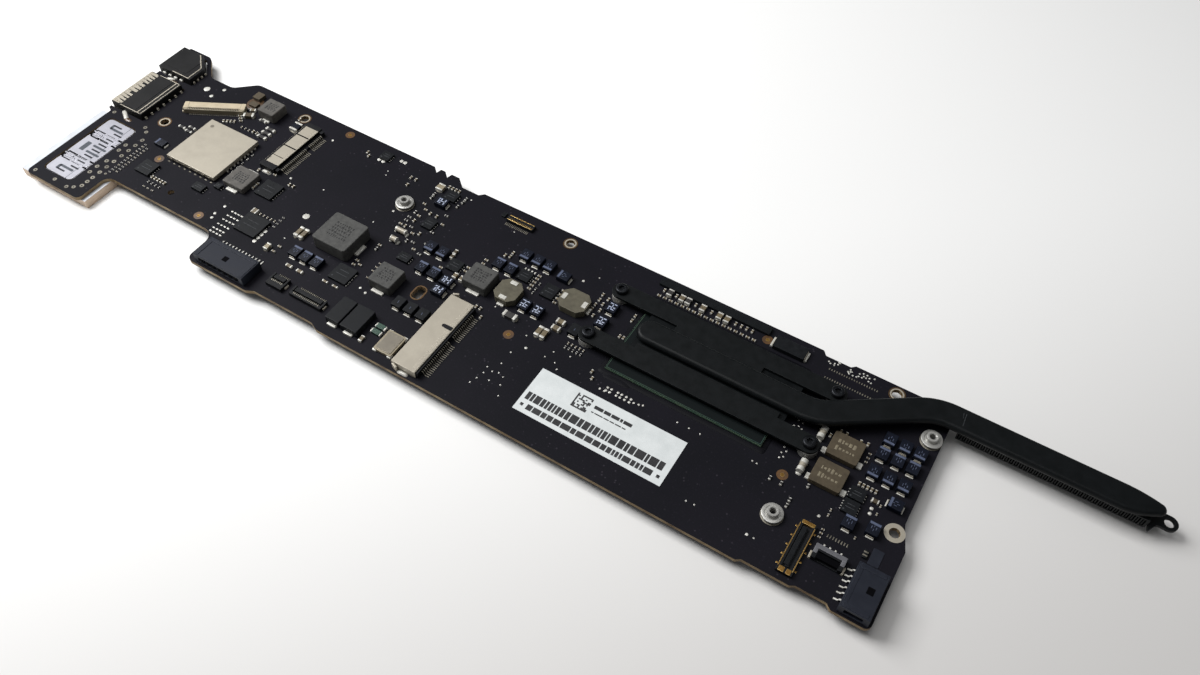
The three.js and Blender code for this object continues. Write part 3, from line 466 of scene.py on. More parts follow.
def dress(node, material, round_edges=0.0, segments=3):
    """Gives a CAD node its finish and, with modifiers only, rounds its sharp edges."""
    piece = nodes[node]
    mesh = piece.data
    mesh.materials.clear()
    mesh.materials.append(MATERIALS[material])
    for attribute in ("custom_normal", "sharp_edge"):
        if attribute in mesh.attributes:
            mesh.attributes.remove(mesh.attributes[attribute])
    mesh.polygons.foreach_set("use_smooth", [round_edges > 0] * len(mesh.polygons))
    weld = piece.modifiers.new("weld", "WELD")
    weld.merge_threshold = 0.001 * MM
    if round_edges > 0:
        flat = piece.modifiers.new("flat faces", "DECIMATE")
        flat.decimate_type = "DISSOLVE"
        flat.angle_limit = math.radians(0.5)
        bevel = piece.modifiers.new("round edges", "BEVEL")
        bevel.width = round_edges * MM
        bevel.segments = segments
        bevel.limit_method = "ANGLE"
        bevel.angle_limit = math.radians(EDGE_ANGLE)
        bevel.harden_normals = False
        piece.modifiers.new("even shading", "WEIGHTED_NORMAL").keep_sharp = False


# --- Small parts that recur all over the board -------------------------------------------------

TIN_SKIN = 0.03  # how far end caps stand outside a chip's body


class Kit:
    """Every loose family of small parts, one Shells for each finish."""

    def __init__(self):
        self.families = {}

    def __getitem__(self, family):
        return self.families.setdefault(family, Shells())

    def chip(self, x, y, turn=0, length=1.0, width=0.5, height=0.5, body="ceramic"):
        """A chip capacitor or resistor: a body with a tinned cap and a solder fillet at each end."""
        at, cap = local(x, y, turn), 0.2 * length
        self[body].block(x, y, length - cap, width, 0.03, height, 0.04, 0.03, turn, 1)
        for side in (-1, 1):
            reach = side * (length - cap) / 2
            self["solder"].block(*at(reach), cap, width + 2 * TIN_SKIN, 0.0, height + TIN_SKIN, 0.05, 0.04,
                                 turn, 1)
            self["test_land"].bead(*at(reach + side * 0.45 * cap), cap, 0.8 * width, 0.25 * height, turn)

    def polymer(self, x, y, turn=0, stripe=1, marked=False, body="capacitor_blue"):
        """A moulded capacitor with feet at both ends, a stripe across the top at one of them (or none, if
        `stripe` is 0), and plain value bars."""
        length, width, height = 3.3, 2.8, 1.5
        waist, at = 0.45 * height, local(x, y, turn)
        rings = []
        for level, grow in ((0.06, -0.10), (waist, 0.0), (height - 0.12, -0.07), (height - 0.03, -0.12),
                            (height, -0.2)):
            shape = outline(x, y, length + 2 * grow, width + 2 * grow, 0.12, turn, 2)
            rings.append([(u, v, level) for u, v in shape])
        self[body].loft(rings)
        for side in (-1, 1):
            end = side * length / 2
            self["solder"].block(*at(end + side * 0.1), 0.42, 1.8, 0.0, 0.2, 0.08, 0.1, turn, 2)
            self["tinned_steel"].block(*at(end + side * 0.01), 0.12, 1.5, 0.1, waist, 0.05, 0.04, turn, 1)
        if stripe:
            mark = stripe * (length / 2 - 0.56)
            self["capacitor_stripe"].block(*at(mark), 0.56, 2.36, height - 0.05, height + 0.012, 0.01, 0.03,
                                           turn, 1)
        # value bars: along, across, length, width
        if marked:
            bars = [(-0.9, -0.55, 0.3, 0.7), (-0.9, 0.5, 0.3, 0.8), (-0.35, 0.0, 0.9, 0.2),
                    (0.2, -0.6, 0.3, 0.6), (0.25, 0.45, 0.3, 0.9), (0.8, -0.3, 0.3, 1.0),
                    (0.9, 0.65, 0.5, 0.3), (0.5, 0.0, 0.5, 0.2)]
        elif body == "capacitor_blue":
            bars = [(-0.35, -0.5, 0.7, 0.12), (-0.35, 0.5, 0.7, 0.12), (0.15, 0.0, 0.6, 0.12),
                    (-0.8, 0.0, 0.4, 0.12)]
        else:
            bars = [(0.15, 0.0, 0.7, 0.12)]
        ink = self["capacitor_print" if marked else "capacitor_stripe"]
        for along, across, bar, thick in bars:
            place = at(-along * (stripe or 1) - 0.3 * stripe, across)
            ink.block(*place, bar, thick, height - 0.03, height + 0.008, 0.005, 0.02, turn, 1)

    def package(self, x, y, length, width, pads):
        """A flat chip: a moulded block with a pin-one dot, two print bars and `pads` lands on each side."""
        height, marking = 0.8, self["chip_marking"]
        self["chip_plastic"].block(x, y, length, width, 0.08, height, 0.07, 0.1, 0, 2)
        self["resin"].block(x, y, length - 0.5, width - 0.5, 0.0, 0.1, 0.02, 0.1, 0, 1)
        marking.disc(x - 0.34 * length, y - 0.34 * width, 0.22, height - 0.03, height + 0.006, 0.004, 12)
        for line, share in ((0.14, 0.5), (-0.1, 0.62)):
            place, bar = (x, y + line * width), share * length
            marking.block(*place, bar, 0.16, height - 0.02, height + 0.004, 0.003, 0.02, 0, 1)
        for index in range(pads):
            offset = (index - (pads - 1) / 2) * 0.8 * width / pads
            for side in (-1, 1):
                self["solder"].bead(x + side * (length / 2 + 0.12), y + offset, 0.34, 0.26, 0.12)

    def lands(self, places, radius=0.3, height=0.05):
        for x, y in places:
            self["solder"].bead(x, y, 2 * radius, 2 * radius, height)

    def fingers(self, places, length, width, height=0.12):
        for x, y in places:
            self["solder"].block(x, y, length, width, 0.0, height, 0.04, 0.04, 0, 1)

    def foot(self, x, y, length, width, height=0.35):
        self["solder"].block(x, y, length, width, 0.0, height, 0.15, 0.12, 0, 2)

    def fiducial(self, x, y):
        """A bare copper dot in a ring that the solder mask leaves open."""
        self["bare_laminate"].disc(x, y, 1.3, -0.02, 0.012, 0.004, 32)
        self["gold"].disc(x, y, 0.48, -0.02, 0.035, 0.01, 20)


kit = Kit()


# --- Board ----------------------------------------------------------------------------------

SCREW_HOLES = [(-102.0, 3.3, 1.25), (-70.5, 25.2, 1.25), (17.5, 25.2, 1.25), (105.2, 25.8, 1.35),
               (117.4, -7.4, 1.25)]
LAND_WIDTH = 0.65
SLOT_HOLE = (-5.0, -8.3)


def bare_board():
    dress("circuit_board", "solder_mask")
    lands, bright = Shells(), Shells()
    for x, y, radius in SCREW_HOLES:
        tinned = LAND_WIDTH - 0.35 if x < 110 else LAND_WIDTH + 0.35
        for bottom, top in ((0.0, 0.062), (-THICKNESS - 0.062, -THICKNESS)):
            lands.ring(x, y, radius + 0.02, radius + LAND_WIDTH, bottom, top)
        bright.ring(x, y, radius - 0.03, radius + tinned, 0.0, 0.075)
        barrel = [(radius + 0.03, -THICKNESS), (radius + 0.03, 0.02), (radius - 0.04, 0.02),
                  (radius - 0.04, -THICKNESS)]
        lands.turned(x, y, barrel, RING_STEPS)
    bright.piece("screw_hole_tinning", "tinned_steel", slot="tinned_steel")
    lands.piece("screw_hole_lands", "brass_ring", slot="gold")

    slot_ring = Shells()
    wide = outline(*SLOT_HOLE, 3.3, 4.7, 1.6, 0, 8)
    tight = outline(*SLOT_HOLE, 2.5, 3.9, 0.88, 0, 8)
    slot_ring.rim(wide, tight, 0.0, 0.06)
    slot_ring.piece("slotted_hole_land", "brass_ring", slot="gold")


def board_markings():
    """Fiducials, test lands and the loose dots of solder between the parts."""
    for x, y in ((-55.6, 26.9), (20.6, -7.2), (73.3, 24.2), (91.7, -7.2), (-68.3, -17.8), (-92.3, -8.1)):
        kit.fiducial(x, y)
    kit.lands([(-45.0, -3.3), (-102.5, 20.0)], 0.95, 0.08)
    kit.lands([(-98.1, 22.3), (-99.3, 18.4), (-37.2, 26.2), (-36.0, 26.2), (-42.7, 23.5), (-41.3, 23.5)],
              0.55)
    kit.lands([(-27.4, 10.2), (26.3, -8.3), (102.4, -12.1), (91.4, -23.9), (26.8, 16.4), (-17.9, -14.6),
               (-15.9, -15.2)], 0.34)
    loose = [(-29.3, 4.4), (-37.9, 21.2), (-37.4, 19.7), (-12.7, 24.3), (3.2, 20.9), (21.8, -17.5),
             (23.5, -18.0), (25.0, -17.5), (22.0, -19.3), (24.0, -15.0), (24.0, -11.2), (24.3, -20.4),
             (26.5, -18.0), (27.2, -20.1), (21.5, -21.3), (20.9, -23.1), (28.5, -22.8), (66.2, -7.5),
             (69.1, -7.5), (71.9, -7.5), (84.7, -7.5), (85.8, -7.6), (32.4, -5.8), (31.4, -8.0), (34.3, -8.3),
             (77.1, -23.7), (79.0, -23.6), (93.0, -23.9), (29.7, 19.3), (-44.5, -12.0), (13.2, -1.9),
             (24.4, -5.2), (-47.6, 6.5), (36.4, -4.9), (35.7, -9.6)]
    kit.lands(loose, 0.2, 0.03)
    for y in (-7.7, -8.6):
        kit.lands([(x, y) for x in (48.3, 49.3, 51.0, 52.0, 53.2, 54.4)], 0.32)
    kit.lands([(46.9, -8.9), (48.1, -8.9), (55.4, -8.2), (56.6, -8.0), (57.5, -7.7)], 0.28)


def limb_lands():
    """Round test lands beside the card slot, where the cage is soldered."""
    inner_column = [(-101.6, y) for y in (-5.3, -7.8, -10.2, -12.7, -15.3, -17.8, -20.2, -22.6, -24.4, -26.2)]
    outer_column = [(-103.9, -9.1), (-103.9, -11.5), (-103.4, -16.2), (-103.9, -19.0), (-103.9, -21.5)]
    corners = [(-116.8, -1.2), (-104.8, -1.2), (-103.2, -2.4), (-116.5, -28.6), (-109.4, -28.3),
               (-104.7, -28.6), (-103.0, -27.7)]
    for places, radius in ((inner_column + outer_column, 0.6), (corners, 0.55), ([(-99.9, -19.8)], 0.35)):
        for x, y in places:
            kit["test_land"].disc(x, y, radius, 0.0, 0.04, 0.015, 20)
            # a dark dot of painted shade in each land's hole
            kit["painted_hole_shade"].disc(x, y, 0.35 * radius, 0.0, 0.045, 0.002, 14)


# --- Heat sink ------------------------------------------------------------------------------

SINK = "heat_sink"
FIN_CHANNELS, FIN_WALL, FIN_SHEET = 38, 0.28, 0.3  # of the CAD fin stack


def heat_sink():
    dress("heat_pipe", "black_paint", 0.75, 5)
    dress("heatsink_cold_plate", "black_oxide_plate", 0.12)
    for side in ("front", "rear"):
        dress(f"heatsink_arm_{side}", "black_paint", 0.14)
    dress("fin_stack", "black_paint")
    dress("fin_stack_lug", "black_paint", 0.12)
    dress("processor_package", "package_laminate", 0.03, 1)
    dress("processor_die", "silicon", 0.03, 1)
    dress("chipset_die", "silicon", 0.03, 1)

    # one more thin fin in each channel between the CAD fins
    stack, thin_fins = span("fin_stack"), Shells()
    pitch = (stack.length - FIN_WALL) / FIN_CHANNELS
    for index in range(FIN_CHANNELS):
        middle = stack.left + FIN_WALL + index * pitch + (pitch - FIN_WALL) / 2
        thin_fins.block(middle, stack.y, 0.3, stack.width - 0.3, stack.bottom + FIN_SHEET,
                        stack.top - FIN_SHEET, 0.01, 0.02)
    thin_fins.piece("thin_fins", "black_paint", SINK)

    package = span("processor_package")
    resin = Shells()
    rings = []
    for height, margin in ((0.0, 1.35), (0.12, 1.15), (0.2, 0.75), (0.24, 0.25)):
        shape = outline(package.x, package.y, package.length + 2 * margin, package.width + 2 * margin, 0.9)
        rings.append([(x, y, height) for x, y in shape])
    resin.loft(rings)
    resin.bead(package.left + 4.0, package.front - 1.1, 7.4, 2.0, 0.2)
    resin.piece("package_resin", "resin")
    border = Shells()
    length, width = package.length - 0.5, package.width - 0.5
    outer = outline(package.x, package.y, length, width, 0.1)
    inner = outline(package.x, package.y, length - 0.24, width - 0.24, 0.1)
    border.rim(outer, inner, package.top - 0.05, package.top + 0.012)
    border.piece("package_border", "laminate_line")

    # painted highlights: pale strips on the pressed lips along the arms and the cold plate
    plate = span("heatsink_cold_plate")
    highlight_strips = Shells()
    highlight_strips.relief(plate, 65.2, plate.rear + 0.16, 22.6, 0.14, 0.02, 0.09, 0.04, 0.04)
    highlight_strips.relief(plate, 66.6, plate.front + 0.2, 37.6, 0.16, 0.02, 0.1, 0.04, 0.04)
    highlight_strips.relief(plate, 66.6, plate.front + 1.0, 37.0, 0.12, 0.02, 0.06, 0.03, 0.03)
    highlight_strips.piece("cold_plate_highlight_strips", "chip_marking", SINK)
    pipe = span("heat_pipe")
    crease = Shells()
    crease.relief(pipe, 120.5, 24.2, 0.13, 3.6, 0.03, 0.012, 0.005, 0.05, 4)
    crease.relief(pipe, 119.9, 25.2, 0.1, 1.5, 0.03, 0.01, 0.004, 0.04, 12)
    crease.piece("heat_pipe_scratches", "chip_marking", SINK)


def hexalobular(radius, lobe, height, x, y, steps):
    """A six-lobed recess outline."""
    points = []
    for index in range(steps):
        angle = math.tau * index / steps
        reach = radius + lobe * math.cos(6 * angle)
        points.append((x + reach * math.cos(angle), y + reach * math.sin(angle), height))
    return points


def heat_sink_screws():
    """Black screws with a rolled head, a six-lobed recess and a threaded shank."""
    steps = 36
    shank, crest, pitch, head_height = 0.78, 0.88, 0.35, 1.0
    for number in range(1, 5):
        cad, screw = span(f"heatsink_screw_{number}"), Shells()
        head, head_bottom = cad.length / 2, cad.top - head_height
        rings = [circle(cad.x, cad.y, 0.02, cad.bottom, steps)]
        level = cad.bottom + 0.02
        while level + pitch < head_bottom:
            for radius, share in ((shank, 0.0), (shank, 0.25), (crest, 0.5), (crest, 0.7)):
                rings.append(circle(cad.x, cad.y, radius, level + share * pitch, steps))
            level += pitch
        rings.append(circle(cad.x, cad.y, shank, head_bottom, steps))
        for inset, height in ((0.12, 0.0), (0, 0.1), (0, 0.62), (0.08, 0.84), (0.26, 0.97), (0.4, 1.0)):
            rings.append(circle(cad.x, cad.y, head - inset, head_bottom + height, steps))
        for radius, lobe, depth in ((0.78, 0.09, 0.0), (0.7, 0.08, 0.08), (0.66, 0.08, 0.6)):
            rings.append(hexalobular(radius, lobe, cad.top - depth, cad.x, cad.y, steps))
        screw.loft(rings)
        screw.piece(f"heatsink_screw_{number}_head_and_thread", "black_screw", f"screw_{number}",
                    replaces=[f"heatsink_screw_{number}"], slot="copper_plate", smooth=40)


def standoffs():
    """Round nickel standoffs: plain ones under the heat sink, flanged ones for cards and the fan end."""
    under_sink = [f"heatsink_standoff_{number}" for number in range(1, 5)]
    mounting = [f"mounting_standoff_{number}" for number in range(1, 4)]
    bosses, flanged, fillets_and_shadow = Shells(), Shells(), Shells()
    for cad in map(span, under_sink):
        outer = cad.length / 2
        bosses.turned(cad.x, cad.y, [(outer, cad.bottom), (outer, cad.top - 0.18), (outer - 0.18, cad.top),
                                     (1.16, cad.top), (1.0, cad.top - 0.14), (1.0, cad.bottom)])
    boss, bore = 1.35, 0.7
    for cad in map(span, mounting):
        outer = cad.length / 2
        stem, step = outer - 0.5, cad.top - 1.0
        profile = [(stem, cad.bottom), (stem, step - 0.5), (outer - 0.06, step - 0.42), (outer, step - 0.36),
                   (outer, step - 0.12), (outer - 0.04, step - 0.04), (outer - 0.12, step),
                   (boss + 0.45, step), (boss + 0.4, step - 0.2), (boss, step - 0.2), (boss, cad.top - 0.14),
                   (boss - 0.13, cad.top), (bore + 0.18, cad.top), (bore, cad.top - 0.18), (bore, cad.bottom)]
        flanged.turned(cad.x, cad.y, profile, 56)
        # solder fillets in the darker test_land finish: partly real solder, partly painted shadow, the dark
        # ring round each standoff's foot
        fillets_and_shadow.turned(cad.x, cad.y, [(outer + 0.1, 0.0), (outer - 0.1, 0.07), (outer - 0.48, 0.24),
                                      (1.0, 0.24), (1.0, 0.0)])
    bosses.piece("heatsink_standoffs", "nickel", slot="nickel", replaces=under_sink)
    flanged.piece("mounting_standoffs", "nickel", slot="nickel", replaces=mounting)
    fillets_and_shadow.piece("mounting_standoff_fillets_and_shadow", "test_land", slot="nickel")


# --- Ports ----------------------------------------------------------------------------------

def ports():
    for node in ("video_port_shell", "data_port_shell"):
        dress(node, "tape", 0.16)
    for node in ("video_port_tongue", "data_port_tongue"):
        dress(node, "black_plastic", 0.08)

    data, video = span("data_port_shell"), span("video_port_shell")
    tapes = Shells()
    tapes.relief(data, data.x - 0.5, data.y, 7.0, data.width - 1.4, 0.02, 0.09, 0.04, 0.4)
    tapes.relief(video, video.x - 1.2, video.y + 0.2, video.length - 3.2, video.width - 2.4,
                 0.02, 0.08, 0.04, 0.6)
    tapes.piece("port_tapes", "tape")

    # the data port's earthing springs: narrow tongues pressed out of the mouth end of the shell
    springs = Shells()
    springs.relief(data, data.left + 1.3, data.y, 2.7, data.width - 0.6, 0.1, 0.06, 0.05, 0.2)
    for start, count, finger, pitch in ((0.7, 4, 0.7, 1.15), (6.0, 3, 0.9, 1.35), (10.4, 4, 0.7, 1.15)):
        for index in range(count):
            y = data.front + start + index * pitch
            path = [(data.left + 0.02, data.top - 0.3), (data.left + 0.4, data.top + 0.12),
                    (data.left + 1.5, data.top + 0.24), (data.left + 2.6, data.top + 0.16),
                    (data.left + 3.3, data.top + 0.06)]
            springs.sweep(path, 0.07, y, y + finger)
    springs.piece("data_port_springs", "tinned_steel", slot="tinned_steel")

    rims = Shells()
    rims.relief(data, data.right - 1.5, data.y, 0.34, data.width - 0.6, 0.02, 0.14, 0.06, 0.1)
    rims.relief(data, data.right - 0.4, data.y, 0.22, data.width - 0.6, 0.02, 0.1, 0.04, 0.1)
    rims.relief(data, data.x + 1.4, data.front + 0.2, data.length - 4.0, 0.2, 0.02, 0.1, 0.04, 0.1)
    rims.relief(data, data.x + 1.4, data.rear - 0.2, data.length - 4.0, 0.2, 0.02, 0.1, 0.04, 0.1)
    rims.relief(video, video.right - 0.9, video.y - 2.0, 0.3, video.width - 5.2, 0.02, 0.16, 0.06, 0.1)
    rims.relief(video, video.x + 2.4, video.front + 0.25, video.length - 6.0, 0.26, 0.02, 0.14, 0.06, 0.1)
    rims.relief(video, video.right - 3.2, video.rear - 2.5, 6.2, 0.3, 0.02, 0.16, 0.06, 0.1, -44)
    rims.piece("port_rims", "tinned_steel", slot="tinned_steel")

    for x, y in row(data.right + 0.3, data.front + 1.0, 0, 2.2, 7):
        kit["tinned_steel"].block(x, y, 0.5, 0.6, 0.0, 0.5, 0.12, 0.1)
        kit["test_land"].bead(x + 0.2, y, 0.7, 0.8, 0.16)
    for x, y in row(video.right + 0.3, video.front + 0.9, 0, 1.5, 4):
        kit["tinned_steel"].block(x, y, 0.45, 0.6, 0.0, 0.6, 0.12, 0.1)
    for x, y in row(video.left + 2.2, video.front - 0.35, 2.2, 0, 4):
        kit.foot(x, y, 1.1, 0.5, 0.6)
    kit["solder"].bead(-113.4, -0.4, 4.2, 1.2, 0.4, turn=-34)
    kit["solder"].bead(-114.4, 17.6, 2.6, 1.0, 0.4, turn=20)
    kit["flux"].bead(-112.6, 17.0, 2.8, 1.3, 0.3)
    kit["flux"].bead(-111.2, -1.5, 2.4, 1.2, 0.2)


# --- Card slot ------------------------------------------------------------------------------

def card_slot():
    dress("card_slot_cage", "card_slot_frame", 0.1)
    dress("card_slot_base", "salmon_plastic", 0.1)
    dress("card_slot_cover_plate", "cover_plate", 0.06)
    plate = span("card_slot_cover_plate")
    middle = plate.y
    leaves, window_shade, recess_shade, gap_shade, bars = Shells(), Shells(), Shells(), Shells(), Shells()
    roof = plate.top + 0.13

    def inlay(shells, x, offset, length, width):
        """A dark inlay of painted shade on the leaves, for a slot or a recess, and the same one mirrored
        about the plate's middle.
        """
        for y in (middle - offset, middle + offset) if offset else (middle,):
            shells.block(x, y, length, width, roof - 0.1, roof + 0.015, 0.005, 0.2)

    # three leaves, joined by two narrow hinges; seam and hinge are distances from the plate's middle
    seam, hinge = 6.0, 4.95
    end_leaf = plate.width / 2 - seam
    for y in (middle + seam + end_leaf / 2 - 0.05, middle - seam - end_leaf / 2 + 0.05):
        leaves.block(plate.x, y, plate.length - 0.2, end_leaf, plate.top - 0.05, roof, 0.05, 1.2, 0, 6)
    leaves.block(plate.x, middle, plate.length - 0.2, 6.8, plate.top - 0.05, roof, 0.05, 0.4)
    for y in (middle + hinge, middle - hinge):
        leaves.block(plate.x + 0.2, y, plate.length - 0.6, 1.7, plate.top - 0.05, roof - 0.03, 0.03, 0.2)
        bars.block(plate.left + 1.9, y + 0.35, 3.4, 0.45, roof - 0.1, roof + 0.2, 0.1, 0.2, -6)
        bars.block(plate.left + 2.6, y - 0.35, 3.6, 0.35, roof - 0.1, roof + 0.16, 0.1, 0.15, 5)
        bars.block(plate.right - 1.0, y, 1.6, 1.2, roof - 0.1, roof + 0.08, 0.06, 0.15)
    leaves.piece("card_slot_leaves", "cover_plate", slot="cover_plate")
    bars.piece("card_slot_plate_hinges", "cover_plate", slot="cover_plate")
    # painted shade in the plate's windows
    inlay(window_shade, -111.2, 9.9, 2.9, 0.5)
    inlay(window_shade, -108.7, 7.4, 2.9, 0.5)
    inlay(window_shade, -108.9, hinge, 3.0, 0.42)
    inlay(window_shade, -109.1, 2.45, 3.0, 0.52)
    inlay(window_shade, -109.0, 0.0, 3.0, 0.52)
    window_shade.piece("card_slot_plate_window_shade", "plate_slot_shade")
    # painted shade in the plate's recesses
    inlay(recess_shade, -110.4, 8.6, 4.8, 0.75)
    inlay(recess_shade, -112.6, 9.3, 0.9, 1.6)
    inlay(recess_shade, -108.9, 1.25, 4.7, 0.72)
    recess_shade.block(-112.9, middle, 1.5, 3.5, roof - 0.1, roof + 0.015, 0.005, 0.1)
    recess_shade.piece("card_slot_plate_recess_shade", "plate_recess_shade")
    # painted shade in the gaps between the leaves and at the hinges
    for y in (middle + 3.65, middle + 6.2, middle - 3.65, middle - 6.2):
        gap_shade.block(plate.left + 2.2, y, 3.2, 0.34, roof - 0.12, roof + 0.01, 0.005, 0.1)
        gap_shade.block(plate.right - 0.7, y, 1.2, 0.5, roof - 0.12, roof + 0.02, 0.005, 0.1)
        gap_shade.block(plate.x + 0.9, y, 3.0, 0.16, roof - 0.12, roof + 0.01, 0.005, 0.05)
    for y in (middle + hinge, middle - hinge):
        gap_shade.block(plate.left + 0.45, y, 0.8, 2.2, roof - 0.15, roof + 0.01, 0.005, 0.1)
    gap_shade.piece("card_slot_plate_gap_shade", "painted_hole_shade")
    # painted shade along the plate's folds
    fold_shade = Shells()
    for y, width in ((middle + 9.1, 4.8), (middle, 6.2), (middle - 9.1, 4.8)):
        fold_shade.block(plate.right - 1.9, y, 0.13, width, roof - 0.1, roof + 0.012, 0.004, 0.05)
    fold_shade.piece("card_slot_plate_fold_shade", "plate_recess_shade")


# --- Connectors -----------------------------------------------------------------------------

def wide_connectors():
    """The wireless-card and drive sockets: black bodies under tinned shells, with combs of fine leads."""
    for family in ("wireless", "drive"):
        dress(f"{family}_connector_body", "black_plastic", 0.06)
        dress(f"{family}_connector_shell", "tinned_steel", 0.14)
    shell, body = span("wireless_connector_shell"), span("wireless_connector_body")
    # painted shade: dark strips for the slots across the wireless shell, and for the drive shell's key slot
    shell_slot_shade = Shells()
    for y in (shell.front + 9.0, shell.front + 14.1):
        shell_slot_shade.relief(shell, shell.x, y, shell.length - 0.4, 0.4, 0.1, 0.014, 0.004, 0.1)
    shell_slot_shade.relief(shell, shell.x, shell.front + 4.6, shell.length - 1.4, 0.2, 0.1, 0.014, 0.004, 0.1)
    shell_slot_shade.relief(shell, shell.left + 0.5, shell.front + 2.2, 0.35, 3.0, 0.1, 0.012, 0.004, 0.1)
    drive, back = span("drive_connector_shell"), span("drive_connector_body")
    # the drive socket's shell is in two parts, with its key between them
    key, front_part, rear_part = -14.3, -14.9, -13.7
    shell_slot_shade.relief(drive, drive.right - 1.2, key, 2.0, 1.1, 0.1, 0.014, 0.004, 0.1)
    shell_slot_shade.piece("socket_shell_slot_shade", "painted_hole_shade")

    strips = Shells()
    for front, rear in ((drive.front, front_part), (rear_part, drive.rear)):
        middle, width = (front + rear) / 2, rear - front - 0.4
        strips.relief(drive, drive.right - 0.75, middle, 1.1, width, 0.1, 0.06, 0.05, 0.1)
    for x, y, turn in ((drive.left + 0.6, drive.rear + 0.9, 30), (drive.left + 1.2, drive.front - 0.35, -20)):
        strips.block(x, y, 1.6, 0.5, 0.2, drive.top - 0.5, 0.1, 0.1, turn)
    strips.piece("socket_shell_folds", "tinned_steel", slot="tinned_steel")
    ends = Shells()
    for y, width in ((shell.front + 0.85, 1.9), (shell.rear - 0.7, 1.6)):
        ends.block(shell.x - 0.1, y, shell.length + 0.3, width, 0.2, shell.top + 0.05, 0.12, 0.2)
    ends.block(shell.left + 0.35, shell.y, 0.5, shell.width - 0.6, 0.2, shell.top + 0.04, 0.1, 0.1)
    ends.relief(drive, drive.right - 1.7, key, 2.8, 1.0, 0.3, 0.02, 0.01, 0.5)
    ends.piece("socket_black_ends", "black_plastic", slot="black_plastic")

    leads = Shells()
    for right, top, groups in ((body.right, 0.9, ((5.6, 15.3), (16.5, 21.4))),
                               (back.right, 1.1, ((-27.2, -17.0), (-15.5, -7.5)))):
        path = [(right - 0.2, top), (right + 0.2, top), (right + 0.45, top - 0.1), (right + 0.7, 0.22),
                (right + 0.95, 0.09), (right + 1.9, 0.09)]
        for front, rear in groups:
            y = front
            while y < rear:
                leads.sweep(path, 0.05, y, y + 0.2)
                y += 0.58
    leads.piece("socket_leads", "test_land", slot="tinned_steel")
    kit.lands([(body.right + 3.4, 5.2), (body.right + 3.0, 22.6)], 0.35)
    for x, y in ((shell.x, shell.front - 0.5), (shell.x, shell.rear + 0.5), (drive.x, drive.front - 0.5),
                 (drive.x - 0.6, drive.rear + 0.5)):
        kit["solder"].bead(x, y, 3.0, 1.0, 0.45)


def display_connector():
    """The turned display socket: a pale band along the rear, a comb in a groove of painted shade, and solder
    tails.
    """
    dress("display_connector", "cream_plastic", 0.1)
    cad, turn = span("display_connector"), 28.9
    at = local(-93.7, 14.5, turn)
    groove, comb, band = Shells(), Shells(), Shells()
    # painted shade along the groove
    groove.relief(cad, *at(0.0, -1.1), 14.6, 0.8, 0.3, 0.012, 0.004, 0.1, turn)
    groove.piece("display_connector_groove_shade", "painted_hole_shade")
    band.relief(cad, *at(0.0, 0.45), 15.0, 2.1, 0.1, 0.1, 0.06, 0.1, turn)
    comb.relief(cad, *at(0.0, -1.6), 15.2, 0.16, 0.1, 0.09, 0.06, 0.06, turn)
    for index in range(30):
        comb.relief(cad, *at((index - 14.5) * 0.48, -1.1), 0.2, 0.75, 0.1, 0.06, 0.03, 0.03, turn, 1)
    for side in (-1, 1):
        band.block(*at(side * 7.95, 0.35), 1.3, 2.5, 0.2, cad.top + 0.16, 0.12, 0.3, turn)
        comb.block(*at(side * 7.9), 1.5, 3.0, 0.2, cad.top + 0.12, 0.12, 0.3, turn)
        comb.block(*at(side * 8.6, -0.9), 0.9, 1.1, 0.0, 0.5, 0.12, 0.2, turn)
    band.piece("display_connector_band", "ivory_plastic", slot="cream_plastic")
    comb.piece("display_connector_frame", "cream_plastic", slot="cream_plastic")
    for index in range(28):
        for across in (-1.95, 1.95):
            kit["test_land"].block(*at((index - 13.5) * 0.5, across), 0.2, 0.6, 0.0, 0.1, 0.04, 0.03, turn, 1)


